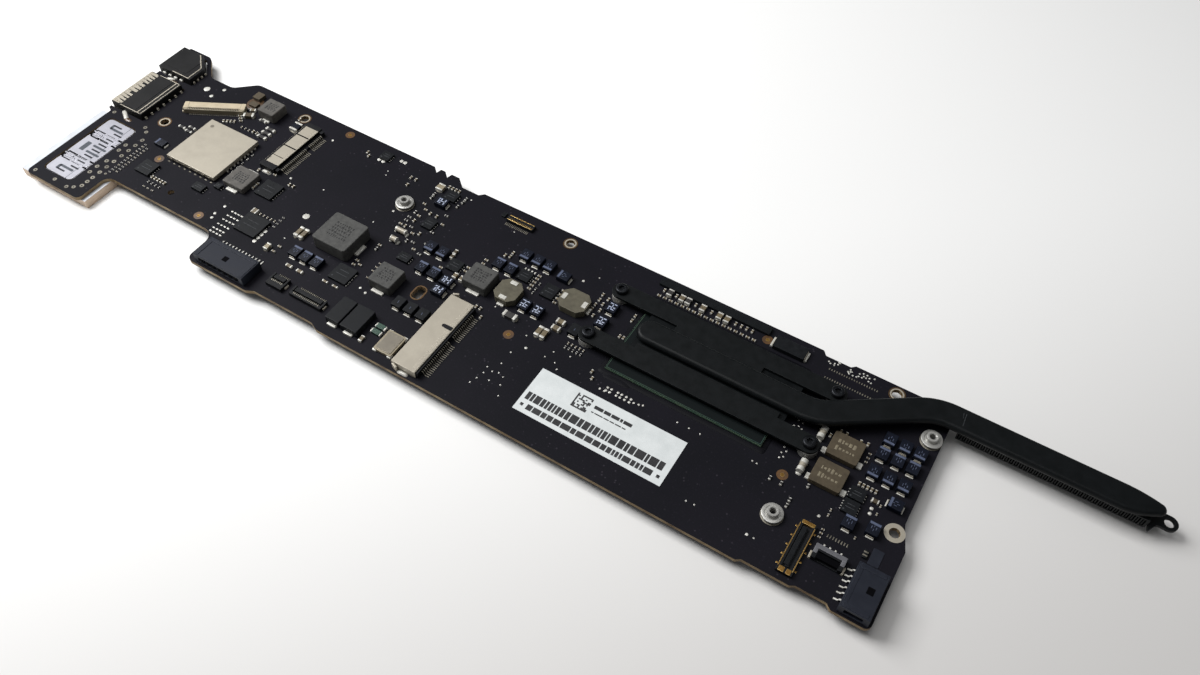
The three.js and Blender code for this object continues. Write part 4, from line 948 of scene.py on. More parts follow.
def power_connectors():
    """The battery and power sockets: slate blocks with keyed tops, and silver leads out of one side."""
    dress("battery_connector", "slate_plastic", 0.14)
    dress("board_power_connector", "slate_plastic", 0.14)
    battery, power = span("battery_connector"), span("board_power_connector")
    dark, raised, leads = Shells(), Shells(), Shells()
    # painted shade: the key holes in the tops, and the mouths along the battery socket's front
    dark.relief(battery, battery.x + 0.3, battery.y - 0.5, 1.5, 1.5, 0.2, 0.012, 0.004, 0.1)
    dark.relief(power, power.x + 1.0, power.y + 0.4, 1.5, 1.7, 0.2, 0.012, 0.004, 0.1)
    for offset in (-5.4, -3.6, -1.8, 0.0, 1.8, 3.6, 5.4):
        dark.block(battery.x + offset, battery.front - 0.01, 0.8, 0.14, 0.8, 1.9, 0.02, 0.05)
    dark.piece("power_socket_hole_shade", "painted_hole_shade")
    raised.relief(battery, battery.x, battery.rear - 0.75, battery.length - 1.0, 0.9, 0.1, 0.1, 0.08, 0.1)
    for side in (-1, 1):
        x, y = battery.x + side * (battery.length / 2 - 0.9), power.y + side * (power.width / 2 - 0.8)
        raised.relief(battery, x, battery.y - 0.2, 1.2, battery.width - 1.0, 0.1, 0.14, 0.1, 0.2)
        raised.relief(power, power.x, y, power.length - 1.2, 1.0, 0.1, 0.13, 0.1, 0.2)
    raised.relief(power, power.left + 0.8, power.y, 0.9, power.width - 1.0, 0.1, 0.1, 0.08, 0.1)
    raised.piece("power_socket_ribs", "slate_plastic", slot="slate_plastic")
    for index in range(13):
        offset = 1.08 * (index - 6)
        path = [(battery.rear - 0.2, 0.95), (battery.rear + 0.3, 0.9), (battery.rear + 0.7, 0.2),
                (battery.rear + 1.9, 0.1)]
        leads.sweep(path, 0.08, battery.x + offset - 0.15, battery.x + offset + 0.15, "X")
        kit["test_land"].bead(battery.x + offset, battery.rear + 1.5, 0.4, 0.8, 0.12)
    for y in (-20.0, -21.5, -22.8, -24.3, -25.7, -27.3):
        path = [(power.left - 1.5, 0.1), (power.left - 0.6, 0.2), (power.left - 0.3, 0.9),
                (power.left + 0.2, 1.0)]
        leads.sweep(path, 0.09, y - 0.16, y + 0.16)
        kit["test_land"].bead(power.left - 1.2, y, 0.7, 0.36, 0.12)
    leads.piece("power_socket_leads", "solder", slot="tinned_steel")


SHELF_DEPTH = 1.84  # of the shelf on which a flip-up latch lies, from the socket's rear side


def small_connectors():
    dress("fan_connector", "black_plastic", 0.1)
    dress("flex_connector", "black_plastic", 0.05)
    for name in ("trackpad", "backlight"):
        dress(f"{name}_connector_base", "black_plastic", 0.06)
        dress(f"{name}_connector_latch", "black_plastic", 0.06)
        base = span(f"{name}_connector_base")
        count = int((base.length - 1.4) / 0.5)
        for x, y in row(base.x - (count - 1) * 0.25, base.rear + 0.25, 0.5, 0, count):
            kit["test_land"].block(x, y, 0.22, 0.8, 0.0, 0.16, 0.05, 0.03, 0, 1)
            contact = base.rear - SHELF_DEPTH - 0.3
            kit["test_land"].relief(base, x, contact, 0.24, 0.5, 0.05, 0.05, 0.03, 0.03, 0, 1)
        for side in (-1, 1):
            x = base.x + side * (base.length / 2 + 0.1)
            kit["tinned_steel"].block(x, base.y, 0.5, 1.3, 0.0, 0.5, 0.12, 0.1)

    fan = span("fan_connector")
    cavity_shade, walls = Shells(), Shells()
    # painted shade for the socket's cavity
    cavity_shade.relief(fan, fan.x, fan.front + 0.9, fan.length - 1.8, 1.3, 0.4, 0.012, 0.004, 0.15)
    cavity_shade.piece("fan_connector_cavity_shade", "painted_hole_shade")
    walls.block(fan.x, fan.rear - 0.55, fan.length + 0.06, 1.1, 0.1, fan.top + 0.14, 0.14, 0.2)
    for side in (-1, 1):
        wall, tab = fan.x + side * (fan.length / 2 - 0.4), fan.x + side * (fan.length / 2 + 0.2)
        walls.block(wall, fan.rear - 1.5, 0.9, 1.6, 0.1, fan.top + 0.12, 0.12, 0.2)
        kit["tinned_steel"].block(tab, fan.y - 0.9, 0.6, 1.7, 0.0, 0.7, 0.16, 0.15)
    walls.piece("fan_connector_walls", "grey_plastic", slot="grey_plastic")
    for x, y in row(fan.x - 1.9, fan.rear + 0.45, 1.25, 0, 4):
        kit["solder"].block(x, y, 0.4, 1.2, 0.0, 0.3, 0.1, 0.05)

    flex = span("flex_connector")
    blade, gold_ends = Shells(), Shells()
    blade.relief(flex, flex.x - 0.3, flex.y + 0.2, 1.0, flex.width - 3.4, 0.1, 0.12, 0.06, 0.1)
    blade.piece("flex_connector_blade", "chip_plastic", slot="black_plastic")
    gold_ends.block(flex.x, flex.rear - 0.45, 2.9, 0.9, 0.1, flex.top + 0.06, 0.08, 0.2)
    gold_ends.block(flex.x - 0.7, flex.front + 0.6, 1.3, 1.2, 0.1, flex.top + 0.06, 0.08, 0.2)
    gold_ends.block(flex.x + 0.9, flex.front + 0.6, 1.1, 1.2, 0.1, flex.top + 0.06, 0.08, 0.2)
    gold_ends.piece("flex_connector_gold", "gold", slot="gold")
    for side in (-1, 1):
        x = flex.x + side * (flex.length / 2 - 0.2)
        kit["gold"].relief(flex, x, flex.y, 0.22, flex.width - 2.0, 0.1, 0.06, 0.05, 0.1)
        for x, y in row(flex.x + side * (flex.length / 2 + 0.25), flex.front + 1.8, 0, 2.4, 5):
            kit["gold"].block(x, y, 0.5, 0.4, 0.0, 0.12, 0.04, 0.03, 0, 1)

    # the debug socket: gold bars behind a comb of pads, with a black end block
    for offset in range(15):
        kit["gold"].block(-0.1 + 0.5 * offset, 23.5, 0.2, 0.5, 0.5, 0.94, 0.05, 0.03, 0, 1)
        kit["test_land"].block(-0.3 + 0.47 * offset, 22.2, 0.2, 0.9, 0.0, 0.1, 0.03, 0.03, 0, 1)
    kit["chip_plastic"].block(3.3, 23.9, 7.9, 2.0, 0.05, 0.9, 0.08, 0.1)
    kit["gold"].block(3.3, 24.6, 7.5, 0.24, 0.5, 1.0, 0.06, 0.06)
    kit["gold"].block(3.3, 23.1, 7.5, 0.16, 0.5, 0.98, 0.06, 0.06)
    kit["chip_plastic"].block(-2.2, 24.4, 1.2, 1.6, 0.05, 0.5, 0.1, 0.15)
    # a slate film and a striped coil beside the power socket
    kit["slate_plastic"].block(116.2, -14.8, 2.3, 4.0, 0.0, 0.14, 0.03, 0.2)
    for step in range(5):
        family = "test_land" if step % 2 else "chip_plastic"
        kit[family].block(114.0, -16.0 + 0.4 * step, 1.0, 0.38, 0.02, 0.62, 0.08, 0.04, 0, 1)


def shield_and_chips():
    # the fence takes the darker can_steel finish, not the lid's: painted shade on the shield's sides
    dress("controller_shield_fence", "can_steel", 0.05)
    dress("controller_shield_lid", "tinned_steel", 0.16)
    dress("controller_chip", "chip_plastic", 0.08)
    for number in range(1, 5):
        dress(f"memory_chip_{number}", "chip_plastic", 0.08)
    lid = span("controller_shield_lid")
    pressings_and_shade = Shells()
    # the pressed dimples along the lid's four sides, in the darker can_steel as painted shade: size and step
    # of those along x and along y
    along_x, along_y = ((0.9, 0.16), (2.3, 0)), ((0.16, 0.9), (0, 2.3))
    for x, y, (size, step) in ((lid.left + 1.6, lid.front - 0.04, along_x),
                               (lid.right + 0.04, lid.front + 1.6, along_y),
                               (lid.left - 0.04, lid.front + 1.6, along_y),
                               (lid.left + 1.6, lid.rear + 0.04, along_x)):
        for place in row(x, y, *step, 7):
            pressings_and_shade.block(*place, *size, 0.5, 1.15, 0.06, 0.06)
    pressings_and_shade.disc(lid.left + 2.2, lid.rear - 2.2, 0.55, lid.top - 0.05, lid.top + 0.05, 0.03, 24)
    pressings_and_shade.piece("shield_lid_pressings_and_shade", "can_steel", "shield_lid", slot="tinned_steel")
    for x, y in row(lid.left + 1.0, lid.front - 0.55, 1.9, 0, 9):
        kit["test_land"].bead(x, y, 0.9, 0.4, 0.2)


def coils():
    """Moulded coils: rough ferrite blocks with a printed bar on top and plated feet."""
    dress("power_inductor", "grey_ferrite", 0.3, 4)
    for number in range(1, 5):
        dress(f"coil_{number}", "pale_ferrite" if number < 3 else "grey_ferrite", 0.28, 4)
    sand = Shells()
    for number in (5, 6):
        coil = span(f"coil_{number}")
        rings = []
        for height, inset in ((coil.bottom, 0.1), (coil.bottom + 0.12, 0.0), (coil.top - 0.14, 0.0),
                              (coil.top - 0.04, 0.05), (coil.top, 0.16)):
            size = coil.length - 2 * inset, coil.width - 2 * inset
            shape = outline(coil.x, coil.y, *size, 1.55 - 0.4 * inset, 0, 1)
            rings.append([(x, y, height) for x, y in shape])
        sand.loft(rings)
    sand.piece("octagonal_coils", "sand_ferrite", slot="sand_ferrite", replaces=["coil_5", "coil_6"])
    for number in (7, 8):
        dress(f"coil_{number}", "tan_ferrite", 0.12)
    dress("rear_choke", "chip_plastic", 0.1)

    inductor = span("power_inductor")
    feet = [(inductor.right + 0.25, inductor.y, 1.4, 3.6), (inductor.left - 0.25, inductor.y, 1.4, 3.6),
            (-67.5, -6.6, 3.4, 1.1), (-67.5, 1.2, 3.4, 1.1),
            (-13.5, -13.5, 3.4, 1.0), (-13.5, -6.0, 3.4, 1.0),
            (6.0, -1.35, 3.6, 1.0), (6.0, 5.95, 3.6, 1.0), (-78.8, 18.6, 2.4, 0.8), (-78.8, 24.8, 2.4, 0.8),
            (96.9, 3.2, 1.3, 1.6), (105.0, 3.5, 1.3, 1.6), (96.6, -4.6, 1.3, 1.6), (104.6, -4.6, 1.3, 1.6)]
    for x, y, length, width in feet:
        kit["solder"].block(x, y, length, width, 0.0, 0.42, 0.2, 0.15)
    # printed marks: how much of the coil's top they take up
    marks = {"power_inductor": 0.52, "coil_2": 0.5, "coil_3": 0.55, "coil_4": 0.55, "coil_1": 0.5,
             "coil_7": 0.6, "coil_8": 0.6}
    for name, share in marks.items():
        coil = span(name)
        family, lines = ("ferrite_print", 2) if name in ("coil_7", "coil_8") else ("grey_print", 5)
        for line in range(lines):
            y = coil.y + share * coil.width * ((line + 0.5) / lines - 0.5)
            x, end = coil.x - share * coil.length / 2, coil.x + share * coil.length / 2
            while x < end:
                stroke = random.uniform(0.25, 0.7)
                tall = random.choice((0.4, 0.7, 0.9)) * min(share * coil.width / lines, 1.4)
                kit[family].relief(coil, x + stroke / 2, y, stroke, tall, 0.05, 0.01, 0.005, 0.05, 0, 1)
                x += stroke + 0.3
    for name, sign_x, sign_y in (("coil_5", 0, 1), ("coil_5", 0, -1), ("coil_6", 1, 0), ("coil_6", -1, 0)):
        coil = span(name)
        x = coil.x + sign_x * (coil.length / 2 - 0.9)
        y = coil.y + sign_y * (coil.width / 2 - 0.9)
        length, width = (1.1, 1.9) if sign_x else (1.9, 1.1)
        kit["solder"].relief(coil, x, y, length, width, 0.1, 0.08, 0.05, 0.1)
        x = coil.x + sign_x * (coil.length / 2 + 0.05)
        y = coil.y + sign_y * (coil.width / 2 + 0.05)
        kit["solder"].block(x, y, length, width, 0.0, 0.5, 0.1, 0.15)
    choke = span("rear_choke")
    for side in (-1, 1):
        cap, foot = choke.x + side * (choke.length / 2 - 0.1), choke.x + side * (choke.length / 2 + 0.3)
        kit["tinned_steel"].block(cap, choke.y, 0.5, 2.5, 0.05, 1.0, 0.1, 0.1)
        kit["solder"].block(foot, choke.y, 0.7, 2.8, 0.0, 0.5, 0.15, 0.1)


def sticker_and_foam():
    """The inventory sticker carries only plain bars, a bar pattern and a square pattern."""
    dress("sticker", "paper", 0.02, 1)
    dress("foam_strip", "foam", 0.15)
    sticker = span("sticker")
    ink = Shells()

    def print_bar(x, y, length, width):
        place = sticker.left + x, sticker.front + y
        ink.relief(sticker, *place, length, width, 0.02, 0.006, 0.003, 0.02, 0, 1)

    cell = 0.4
    for column in range(10):
        for line in range(10):
            if column == 0 or line == 0 or random.random() < 0.5:
                print_bar(10.6 + cell * (column + 0.5), 7.4 + cell * (line + 0.5), cell, cell)
    for line, height, first, last in ((9.9, 0.9, 15.6, 25.5), (8.4, 0.3, 15.6, 24.5), (4.6, 2.2, 0.9, 36.9),
                                      (1.9, 1.5, 2.6, 35.4)):
        x = first
        while x < last - 0.4:
            stroke = min(random.uniform(0.5, 2.4), last - x)
            print_bar(x + stroke / 2, line, stroke, height)
            x += stroke + 0.22
    for x in (1.3, 36.3):
        print_bar(x, 1.9, 0.8, 0.8)
    ink.piece("sticker_print", "ink")


# --- Small parts ----------------------------------------------------------------------------

def capacitors():
    """Moulded polymer capacitors, with a stripe at the front, the rear, a side or nowhere, and other large
    parts that stand alone."""
    front = [(10.8, 15.2), (14.3, 15.2), (17.7, 15.2), (-11.0, 4.7), (-7.3, 4.7), (108.4, 12.8),
             (112.0, 12.8), (115.4, 12.8), (108.3, 3.4), (111.8, 3.4), (115.2, 3.4)]
    rear = [(6.6, 9.4), (10.1, 9.4), (-8.8, -1.8), (-5.1, -1.8), (-38.2, -14.5), (-34.9, -14.5),
            (-31.5, -14.5), (108.3, 8.6), (111.8, 8.6), (115.2, 8.6), (108.4, -10.7), (113.3, -9.5)]
    for x, y in front:
        kit.polymer(x, y, 90, -1)
    for x, y in rear:
        kit.polymer(x, y, 90, 1)
    for x, y in ((22.5, 14.3), (115.2, -1.7)):
        kit.polymer(x, y, 0, -1)
    for x, y, turn in ((-0.9, -2.3, 0), (-0.9, -5.7, 0), (-18.0, 18.7, 0), (19.3, 1.7, 90), (22.9, 1.7, 90),
                       (37.6, 12.1, 90), (37.6, 7.0, 90)):
        kit.polymer(x, y, turn, 0, marked=True)
    for x, y in ((-6.5, -13.8), (-3.0, -13.8), (0.5, -13.8), (33.6, 1.6)):
        kit.polymer(x, y, 90, 0, body="chip_plastic")
    kit["capacitor_blue"].block(-95.9, -3.7, 3.2, 2.2, 0.05, 1.0, 0.1, 0.1)
    kit["capacitor_stripe"].block(-96.9, -3.7, 0.5, 2.0, 0.9, 1.01, 0.01, 0.03)
    for side in (-1, 1):
        kit.foot(-95.9 + side * 1.7, -3.7, 0.6, 1.6)

    # the two tall black capacitors at the front edge, with their wide feet
    for x, length in ((-16.1, 4.0), (-11.2, 4.9)):
        kit["chip_plastic"].block(x, -23.3, length, 7.4, 0.05, 2.0, 0.16, 0.2)
        for y in (-27.1, -19.5):
            kit["solder"].block(x, y, 2.6, 1.1, 0.0, 0.5, 0.2, 0.2)
    # the crystal in its tinned can, and the green filter beside it
    kit["cream_plastic"].block(-0.9, -24.4, 5.0, 6.3, 0.1, 0.8, 0.05, 0.3)
    kit["can_steel"].block(-0.9, -24.4, 4.2, 5.5, 0.7, 0.95, 0.06, 0.4)
    for side_x in (-1, 1):
        for side_y in (-1, 1):
            kit["solder"].block(-0.9 + side_x * 2.1, -24.4 + side_y * 2.9, 1.1, 1.1, 0.0, 0.5, 0.1, 0.1)
    for y in (-21.6, -23.4):
        kit["ceramic_green"].block(-5.8, y, 2.2, 1.3, 0.05, 0.7, 0.06, 0.1)
        for side in (-1, 1):
            kit["solder"].block(-5.8 + side * 1.25, y, 0.4, 1.2, 0.0, 0.6, 0.1, 0.1)


def flat_chips():
    chips = [(-91.9, -12.5, 4.8, 4.6, 5), (-59.1, -1.5, 5.5, 5.6, 6), (-54.1, -13.3, 7.0, 6.4, 6),
             (-24.0, -13.7, 5.4, 5.2, 5), (-14.7, -1.3, 3.4, 2.6, 3), (-2.5, 3.2, 3.6, 3.6, 4),
             (14.0, 9.7, 3.4, 3.4, 4), (21.9, 8.7, 3.6, 4.2, 4), (-41.4, 25.2, 3.0, 3.0, 4),
             (-17.5, 22.2, 3.6, 3.2, 3), (-16.5, 11.2, 3.2, 3.4, 4), (107.3, -3.4, 3.4, 3.0, 3),
             (107.2, -7.0, 3.4, 3.4, 4), (-71.2, -7.5, 2.0, 1.8, 2), (-75.2, -10.5, 3.5, 2.5, 3)]
    for x, y, length, width, pads in chips:
        kit.package(x, y, length, width, pads)


def round_parts():
    """Diodes in glass tubes with plated ends, lying on the board."""
    steps = 20
    diodes = [(94.9, 6.6, 90, 3.3, 0.85, 1.2), (94.5, -3.4, 90, 3.3, 0.85, 1.2),
              (-20.8, 5.3, 0, 3.3, 0.72, 0.6), (-20.5, 2.0, 0, 2.0, 0.8, 0.4)]
    for x, y, turn, length, radius, ends in diodes:
        at = local(x, y, turn)

        def tube(family, start, end, reach):
            rings = []
            for along, scale in ((end, 0.8), (end - 0.1, 1.0), (start + 0.1, 1.0), (start, 0.8)):
                angles = [math.tau * index / steps for index in reversed(range(steps))]
                rings.append([(*at(along, reach * scale * math.cos(angle)),
                               radius + 0.04 + reach * scale * math.sin(angle)) for angle in angles])
            kit[family].loft(rings)

        tube("tinned_steel", -length / 2 + ends * 0.8, length / 2 - ends * 0.8, radius * 0.93)
        for side in (-1, 1):
            tip = side * length / 2
            inner = tip - side * ends
            tube("solder", min(tip, inner), max(tip, inner), radius)
            kit["solder"].bead(*at(tip), 0.9, 1.4, 0.35, turn)


SMALL = (0.95, 0.5, 0.42)  # length, width and height of the commonest chip part
TINY = (0.65, 0.34, 0.3)


def either_ceramic():
    return random.choice(("ceramic", "ceramic_dark"))


def chips(places, turn=0, size=SMALL, body="ceramic"):
    for x, y in places:
        kit.chip(x, y, turn, *size, body=body)


def chip_rows_left():
    """The left end: round the controller, the display socket and the wireless-card socket."""
    for x, y in row(-99.3, -6.2, 0, -1.05, 13) + row(-97.8, -7.2, 0, -1.05, 11):
        kit.chip(x, y, 0, *TINY, body=either_ceramic())
    chips(row(-88.4, -14.2, 1.1, 0, 5), 90)
    chips(row(-88.0, -16.0, 1.3, 0, 4), 90, TINY, "ceramic_dark")
    chips(row(-87.8, -17.8, 1.5, 0, 3), 0, TINY)
    chips(row(-73.7, -2.0, 0, 1.3, 9), 0)
    chips(row(-72.2, -1.4, 0, 1.9, 5), 90, TINY, "ceramic_dark")
    # slanted rows beside the turned display socket
    chips(row(-88.5, 12.2, 0.87, 0.48, 4), 119)
    chips([(-86.2, 16.2), (-85.3, 15.5), (-84.5, 14.8)], 29)
    chips(row(-101.0, 9.6, 1.0, 0.55, 4), 119, TINY, "ceramic_dark")
    kit.chip(-84.0, 17.5, 29, 3.0, 1.5, 0.9, "tan_ferrite")
    kit.chip(-69.6, 20.8, 90, 3.0, 2.4, 1.1, "capacitor_blue")
    kit["tan_ferrite"].block(-86.9, 24.9, 2.5, 2.6, 0.05, 1.2, 0.1, 0.1)
    kit["tan_ferrite"].block(-86.0, 21.8, 2.6, 1.8, 0.05, 0.8, 0.1, 0.1)
    kit["flux"].bead(-86.6, 22.6, 4.6, 5.4, 0.12)
    kit.chip(-84.6, 19.8, 29, 1.6, 0.9, 0.7)
    kit.chip(-56.8, -9.3, 0, 1.6, 1.6, 0.8, "ceramic")
    for x, y in ((-42.4, -8.7), (-40.8, -8.7)):
        kit.chip(x, y, 90, 3.3, 1.1, 0.9, "ceramic")
    chips([(-75.0, 16.4), (-75.0, 14.7), (-75.0, 12.9)], 0, (3.0, 0.9, 0.6), "ceramic_dark")
    chips([(-79.3, 18.0), (-93.6, 5.4), (-96.2, 4.2), (-93.4, 3.9)], 0, (2.2, 0.7, 0.5), "ceramic_dark")
    chips([(-78.6, 13.4), (-77.3, 13.4), (-71.2, 24.0)], 90)
    chips([(-82.6, 13.1), (-81.3, 13.1), (-80.0, 13.1)], 90, TINY)
    # strips of bare lands between the two middle chips
    for y in (-12.2, -13.8, -15.4, -17.2, -18.8, -20.0):
        kit.fingers(row(-62.0, y, 1.1, 0, 4), 0.7, 0.4, 0.08)
    kit.lands([(-65.0, -11.8), (-65.4, -15.0), (-65.0, -16.5)], 0.4)
    kit.lands([(-50.2, y) for y in (-12.9, -14.2, -15.5, -16.8)], 0.55)
    chips([(-45.7, -16.8)], 90, (2.0, 1.2, 0.9), "cream_plastic")
    chips([(-43.4, -15.0), (-43.6, -17.0), (-61.9, 3.7), (-64.0, 3.4)], 0)
    chips([(-66.8, 2.8), (-56.2, 3.0), (-54.9, 3.0), (-63.4, -1.4), (-63.4, -2.8)], 90)
    chips([(-37.0, -18.6), (-33.6, -18.6)], 0, (1.8, 0.8, 0.5))
    chips([(-26.3, -17.7), (-23.2, -17.7)], 0, (1.6, 0.5, 0.4))
    chips(row(-55.2, -9.1, 1.2, 0, 5), 90, TINY)
    chips(row(-49.3, -7.0, 0, -1.2, 4), 0, TINY, "ceramic_dark")


def chip_rows_middle():
    """The middle: converters between the inductor and the processor."""
    places = [(-22.6, -2.6), (-22.6, -1.2), (-22.8, 7.5), (-21.4, 7.5), (-19.8, 8.0), (-22.4, 9.2),
              (-22.4, 10.6), (-20.6, 10.2), (-20.6, 12.2), (-22.2, 12.8), (-18.6, 14.4), (-16.6, 14.4),
              (-14.2, 9.3),
              (-13.6, 12.9), (-20.4, 14.9), (-22.0, 16.4), (-14.6, 16.0), (-12.9, 5.2), (-16.6, 7.2),
              (-18.2, 6.4), (-17.9, 3.6), (-16.2, 4.0), (-14.6, 2.2), (-12.4, 1.6)]
    for x, y in places:
        kit.chip(x, y, random.choice((0, 90)), *SMALL, body=either_ceramic())
    chips(row(-20.2, 24.9, 1.05, 0, 4), 90)
    kit.chip(-21.8, 23.3, 90, 2.2, 2.0, 1.0, "cream_plastic")
    chips([(-22.0, 20.7), (-21.9, 19.3), (-14.2, 20.2), (-13.9, 22.2), (-13.9, 23.6)], 90,
          body="ceramic_dark")
    kit.fingers([(-21.5, y) for y in (-12.3, -13.7, -14.9, -16.0)], 0.8, 0.4)
    chips([(-24.0, -8.2), (-24.0, -9.7), (-22.6, -9.0)], 0)
    chips([(-18.7, -6.0), (-18.7, -7.4), (-18.7, -8.8), (-18.4, -11.2)], 0, TINY)
    chips([(-7.5, -26.7)], 90, (1.7, 0.9, 0.6))
    chips([(-4.9, 5.4), (-5.1, 7.0)], 90, (1.5, 0.8, 0.6), "tan_ferrite")
    chips([(-0.5, 0.6), (1.4, 0.6)], 90, (1.6, 1.0, 0.7), "ceramic")
    chips([(0.6, 3.2), (0.6, 4.6), (-5.2, 1.0), (2.9, 7.6), (2.9, 9.0)], 0)
    chips([(17.0, y) for y in (7.0, 8.2, 9.4, 10.6, 11.7)], 0)
    chips([(18.4, y) for y in (6.4, 7.8, 9.6)], 90, TINY, "ceramic_dark")
    chips([(24.6, 6.6), (24.6, 8.0), (24.6, 9.4), (24.6, 10.8)], 0)
    kit.fingers([(14.0 + offset, 12.0) for offset in (-1.4, -0.5, 0.5, 1.4)], 0.4, 0.8)
    kit.chip(18.0, -2.7, 0, 3.6, 1.6, 1.0, "ceramic_dark")
    chips([(29.3, 2.2), (29.3, 0.0)], 0, (2.2, 1.3, 0.9), "ceramic")
    chips([(26.4, -2.9), (27.9, -2.9)], 90, (3.0, 1.2, 0.9), "ceramic")
    chips([(33.3, 8.2), (34.6, 8.2), (33.3, 9.8), (35.2, 10.4), (33.3, 11.4), (34.8, 12.4), (33.4, 13.2),
           (35.2, 14.4), (33.3, 15.0)], 90)
    chips(row(34.0, -2.0, 1.05, 0, 5), 90, TINY)
    chips(row(34.0, -3.3, 1.05, 0, 5), 90, TINY, "ceramic_dark")
    chips([(9.4, -4.5), (10.6, -4.5), (12.2, -6.6), (7.2, 13.2), (7.2, 14.6), (5.9, 12.9)], 90)
    chips([(-29.4, 22.4), (-31.0, 22.4), (-30.2, 19.7), (-45.8, 22.9), (-46.9, 23.9)], 90)


def chip_rows_right():
    """Round the processor and between the fan end's connectors."""
    for x in (47.0, 50.3, 52.0, 56.0, 60.5, 62.5):
        kit.chip(x, 24.1, 90, 2.0, 1.35, 0.8, body=either_ceramic())
    chips([(x, 24.3) for x in (45.3, 48.7, 54.0, 58.3, 64.8, 66.3, 67.7, 69.2)], 90)
    chips(row(45.0, 22.15, 1.6, 0, 17), 0)
    chips([(87.4, 8.4), (87.4, 10.0), (87.4, 11.6), (87.4, 4.2), (87.4, 2.6)], 90)
    for first_y in (24.2, 21.5):
        for x, y in row(89.2, first_y, 0.62, 0, 20):
            kit["test_land"].block(x, y, 0.24, 0.5, 0.0, 0.06, 0.02, 0.02, 0, 1)
    for _ in range(26):
        kit.lands([(random.uniform(88, 99.5), random.uniform(25.3, 27.2))], 0.22)
    kit.lands([(88.6, 5.6), (89.6, 6.0), (90.5, 5.6), (88.9, 7.4), (90.1, 7.2), (89.4, 4.4), (89.2, -0.6),
               (90.0, -1.4), (89.2, -2.2), (90.0, -3.0), (89.3, -3.6)], 0.22)
    chips([(96.6, 7.4), (98.2, 9.6), (99.6, 9.6), (103.0, 9.4), (104.6, 9.6)], 90)
    chips([(105.9, 5.2), (105.9, 6.4), (105.9, 7.6)], 0, TINY)
    chips(row(106.7, -0.55, 0.95, 0, 5), 90)
    kit.chip(111.2, -2.8, 0, 1.6, 0.9, 0.6, "tan_ferrite")
    kit.lands([(111.2, -4.6), (111.3, -5.9)], 0.45, 0.2)
    chips([(104.4, -14.6), (104.4, -15.6), (104.4, -16.6)], 0, TINY)
    for x, y in row(105.8, -15.3, 0.62, 0, 8):
        kit["test_land"].block(x, y, 0.22, 0.8, 0.0, 0.06, 0.02, 0.03, 0, 1)
    chips([(95.6, -12.0), (95.6, -13.6), (92.4, -9.4), (89.8, -9.4), (97.6, -6.9)], 90, body="ceramic_dark")
    chips([(44.0, -7.6), (43.0, -6.0), (43.2, 6.2), (44.2, 6.2), (43.3, 11.8), (43.3, 13.4)], 90)
    chips([(112.6, -5.4), (112.6, -3.2), (104.0, -9.6), (104.0, -11.0), (110.8, -12.9)], 90, TINY)


def underside_chips():
    """Sparse decoupling parts on the underside, between the memory chips."""
    before, kit.families = kit.families, {}
    for centre in (47.0, 63.0, 79.0, 95.0):
        for x, y in row(centre - 5.0, -9.6, 2.0, 0, 6) + row(centre - 5.0, 9.6, 2.0, 0, 6):
            kit.chip(x, y, 90, *SMALL, body=either_ceramic())
    for x, y in row(-60.0, -4.0, 3.1, 0, 12) + row(-40.0, 10.0, 2.7, 0, 10):
        kit.chip(x, y, random.choice((0, 90)), *SMALL, body="ceramic")
    for x, y, length, width in ((-70.0, 8.0, 6.0, 6.0), (-35.0, 2.0, 4.0, 4.0), (0.0, 12.0, 5.0, 5.0)):
        kit.package(x, y, length, width, 5)
    flipped = kit.families
    kit.families = before
    for family, shells in flipped.items():
        target = kit[family]
        start = len(target.points)
        target.points.extend((x, y, -THICKNESS - z) for x, y, z in shells.points)
        target.faces.extend([start + i for i in reversed(face)] for face in shells.faces)


# each loose family, named after its material: its piece and the record's slot
FAMILY_PIECES = [
    ("solder", "solder_joints_and_lands", "tinned_steel"),
    ("tinned_steel", "tinned_cans", "tinned_steel"),
    ("gold", "gold_contacts", "gold"),
    ("bare_laminate", "fiducial_grounds", "solder_mask"),
    ("can_steel", "crystal_can", "tinned_steel"),
    ("test_land", "test_lands", "tinned_steel"),
    ("painted_hole_shade", "test_land_hole_shade", None),
    ("flux", "flux_residue", None),
    ("resin", "chip_underfill", None),
    ("chip_plastic", "moulded_chips", "chip_plastic"),
    ("chip_marking", "chip_markings", None),
    ("capacitor_blue", "moulded_capacitors", "chip_plastic"),
    ("capacitor_stripe", "capacitor_stripes", None),
    ("capacitor_print", "capacitor_value_bars", None),
    ("ceramic", "ceramic_chip_parts", "cream_plastic"),
    ("ceramic_dark", "dark_chip_parts", "chip_plastic"),
    ("ceramic_green", "green_chip_parts", None),
    ("slate_plastic", "slate_film", "slate_plastic"),
    ("cream_plastic", "cream_chip_parts", "cream_plastic"),
    ("tan_ferrite", "ferrite_beads", "tan_ferrite"),
    ("grey_print", "inductor_marks", None),
    ("ferrite_print", "coil_marks", None),
]


# --- Stage ----------------------------------------------------------------------------------

BACKDROP = tone(246, 247, 248)


